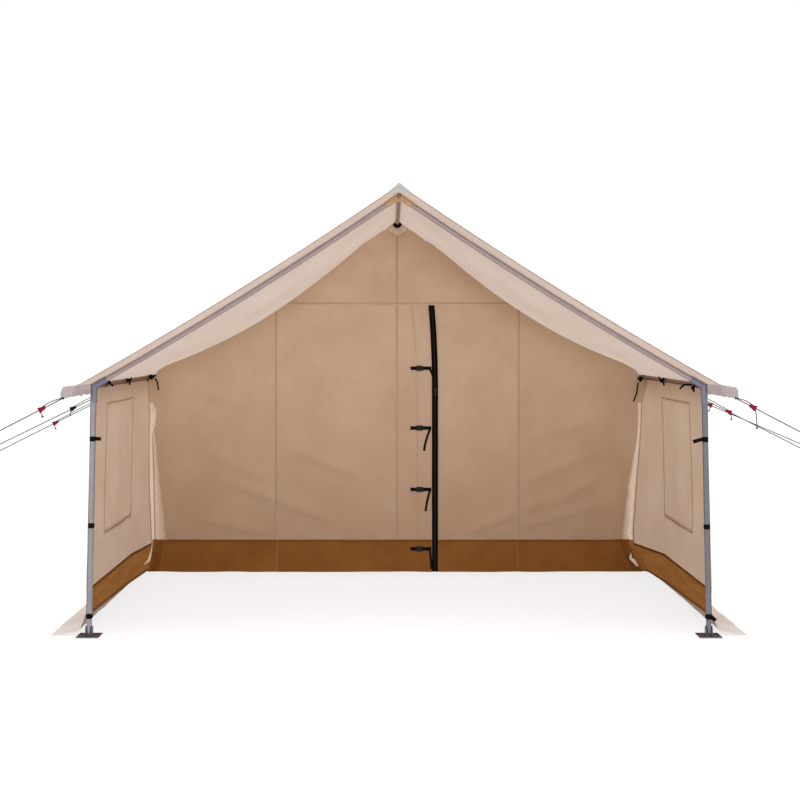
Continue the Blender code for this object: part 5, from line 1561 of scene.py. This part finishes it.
# %% Eave ties
TIES = {
    -1: ((0.262, 1.515, 0.014,
          (((0.004, 0, -0.004), (0.014, 0.002, -0.010), (0.029, 0.004, -0.026)),
           ((-0.004, 0, 0.002), (-0.008, 0, 0.004), (-0.016, 0.001, 0.001)))),
         (0.883, 1.504, 0.016,
          (((-0.004, 0, -0.004), (-0.012, 0, 0.004), (-0.019, 0.002, 0.015)),
           ((0.004, 0, -0.002), (0.011, 0, 0.008), (0.019, 0.002, 0.020)),
           ((0.001, 0, -0.004), (0.004, 0.001, -0.014), (0.003, 0.002, -0.030)))),
         (1.673, 1.506, 0.023,
          (((0.028, 0, -0.010), (0.042, 0.002, -0.036), (0.048, 0.003, -0.066),
            (0.052, 0.002, -0.094)),
           ((-0.014, 0, -0.006), (-0.022, 0.001, -0.016), (-0.028, 0.002, -0.032)),
           ((-0.028, 0, 0.000), (0.0, -0.002, 0.006), (0.036, 0, 0.010))))),
    1: ((0.163, 1.480, 0.011,
         (((-0.004, 0, 0.020), (-0.030, 0.002, 0.024), (-0.056, 0.003, 0.018),
           (-0.080, 0.002, -0.004)),
          ((0.002, 0, 0.020), (0.006, 0.001, 0.004), (0.006, 0.002, -0.024)))),
        (1.050, 1.499, 0.016,
         (((-0.004, 0, 0.002), (-0.012, 0, 0.012), (-0.022, 0.002, 0.026)),
          ((0.004, 0, 0.002), (0.010, 0, 0.010), (0.014, 0.002, 0.020)),
          ((0.004, 0, -0.004), (0.010, 0.001, -0.014), (0.017, 0.002, -0.034)))),
        (1.782, 1.488, 0.023,
         (((-0.016, 0, -0.026), (-0.024, 0.002, -0.074), (-0.030, 0.003, -0.112),
           (-0.052, 0.002, -0.168)),))),
}
TIE_X = 1.800


def ring_band(name, centre, radius, height, upright, thick):
    """A closed band of tape round a tube that stands upright or runs along Y."""
    def place(u, v):
        a, b = radius * math.cos(math.tau * u), radius * math.sin(math.tau * u)
        return Vector(centre) + Vector((a, b, v) if upright else (a, v, b))

    made = cloth(name, webbing, spread(0.0, 1.0, 1 / 20), [-height / 2, 0.0, height / 2], place, UP)
    work = bmesh.new()
    work.from_mesh(made.data)
    bmesh.ops.recalc_face_normals(work, faces=work.faces)
    work.to_mesh(made.data)
    work.free()
    thicken(made, thick)
    settle("frame", "black_webbing", made)


def tape_tail(name, centre, offsets, width):
    """A loose end of tape that leaves a centre along offsets from it."""
    made, long = ribbon(name, [centre + Vector(p) for p in offsets], width, 1.4 * MM, 5, 0.002,
                        0.004, 2)
    settle("frame", "black_webbing", made)


for side_name, side in SIDES:
    for index, (back, z, bow_size, tails) in enumerate(TIES[side], 1):
        at = Vector((side * TIE_X, FRONT_Y + back, z))
        ring_band(f"tie_loop_{index}_{side_name}", (side * HALF_WIDTH, at.y + 0.010, EAVE_Z),
                  TUBE_R + 0.0014, 0.016, False, 1.8 * MM)
        bow = knot(f"tie_knot_{index}_{side_name}", at, (0.3, 1, 0.2), elastic, bow_size, 0.010)
        settle("frame", "black_webbing", bow)
        for count, tail in enumerate(tails, 1):
            tape_tail(f"tie_tail_{index}_{count}_{side_name}", at - Vector((0, 0.008, 0)), tail,
                      0.011)
# A black tape cuff on the ridge pole in front of the door wall: partly a strap, partly painted shade on
# the pole's end.
ring_band("pole_shade_cuff", (0, DOOR_Y - 0.080, RIDGE_Z), TUBE_R + 0.0022, 0.130, False, 1.2 * MM)
print("eave ties", len(TIES[-1]) + len(TIES[1]))

# %% Post straps
POST_STRAPS = {
    -1: ((1.184, ((0.012, 0, 0.003), (0.028, 0.002, 0.001), (0.052, 0.004, 0.000))), (0.664, ()),
         (0.121, ((0.010, 0, 0.002), (0.014, 0.001, -0.002), (0.020, 0.002, -0.006)))),
    1: ((1.180, ((-0.016, 0, 0.004), (-0.040, 0.002, -0.003), (-0.076, 0.004, -0.014))),
        (0.657, ()),
        (0.118, ((0.012, 0, 0.000), (0.024, 0.002, -0.008), (0.038, 0.003, -0.022)))),
}
PAD_HALF = 0.015
for side_name, side in SIDES:
    for index, (z, tab) in enumerate(POST_STRAPS[side], 1):
        x = side * post_x(z)
        ring_band(f"post_strap_{index}_{side_name}", (x, FRONT_Y, z), TUBE_R + 0.0016, 0.026, True,
                  2.4 * MM)
        pad = edit_cube(f"post_pad_{index}_{side_name}", (x - PAD_HALF, FRONT_Y - 0.0235, z - PAD_HALF),
                        (x + PAD_HALF, FRONT_Y - 0.0170, z + PAD_HALF), webbing)
        bevel(pad, lambda c, d: True, 0.0025, 2)
        settle("frame", "black_webbing", done(pad))
        if tab:
            tape_tail(f"post_tab_{index}_{side_name}", Vector((x, FRONT_Y - 0.021, z)), tab, 0.022)
print("post straps", len(POST_STRAPS[-1]) + len(POST_STRAPS[1]))

# %% [markdown]
# The tubes have plugs of grey plastic in their open ends, so that rain and earth stay out; here the
# ridge pole's front end gets one.

# %% Ridge plug
bpy.ops.mesh.primitive_cylinder_add(vertices=32, radius=0.0150, depth=0.012,
                                    location=(0, FRONT_Y - 0.0150, RIDGE_Z),
                                    rotation=(math.radians(90), 0, 0))
plug = bpy.context.object
plug.name = plug.data.name = "ridge_plug"
bpy.ops.object.transform_apply(location=True, rotation=True, scale=True)
plug.data.materials.clear()
plug.data.materials.append(plug_plastic)
pick(plug, lambda c, n: n.y < -0.9)
inset(0.004)
inset(0.001, -0.002)
settle("frame", "black_plastic", done(plug))
print("plug", len(plug.data.polygons), "faces")

# %% [markdown]
# The last cell writes down how far the finished tent reaches, and closes the lesson.

# %% Sizes and finish
low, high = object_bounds()
print("finished size", [round(b - a, 3) for a, b in zip(low, high)])
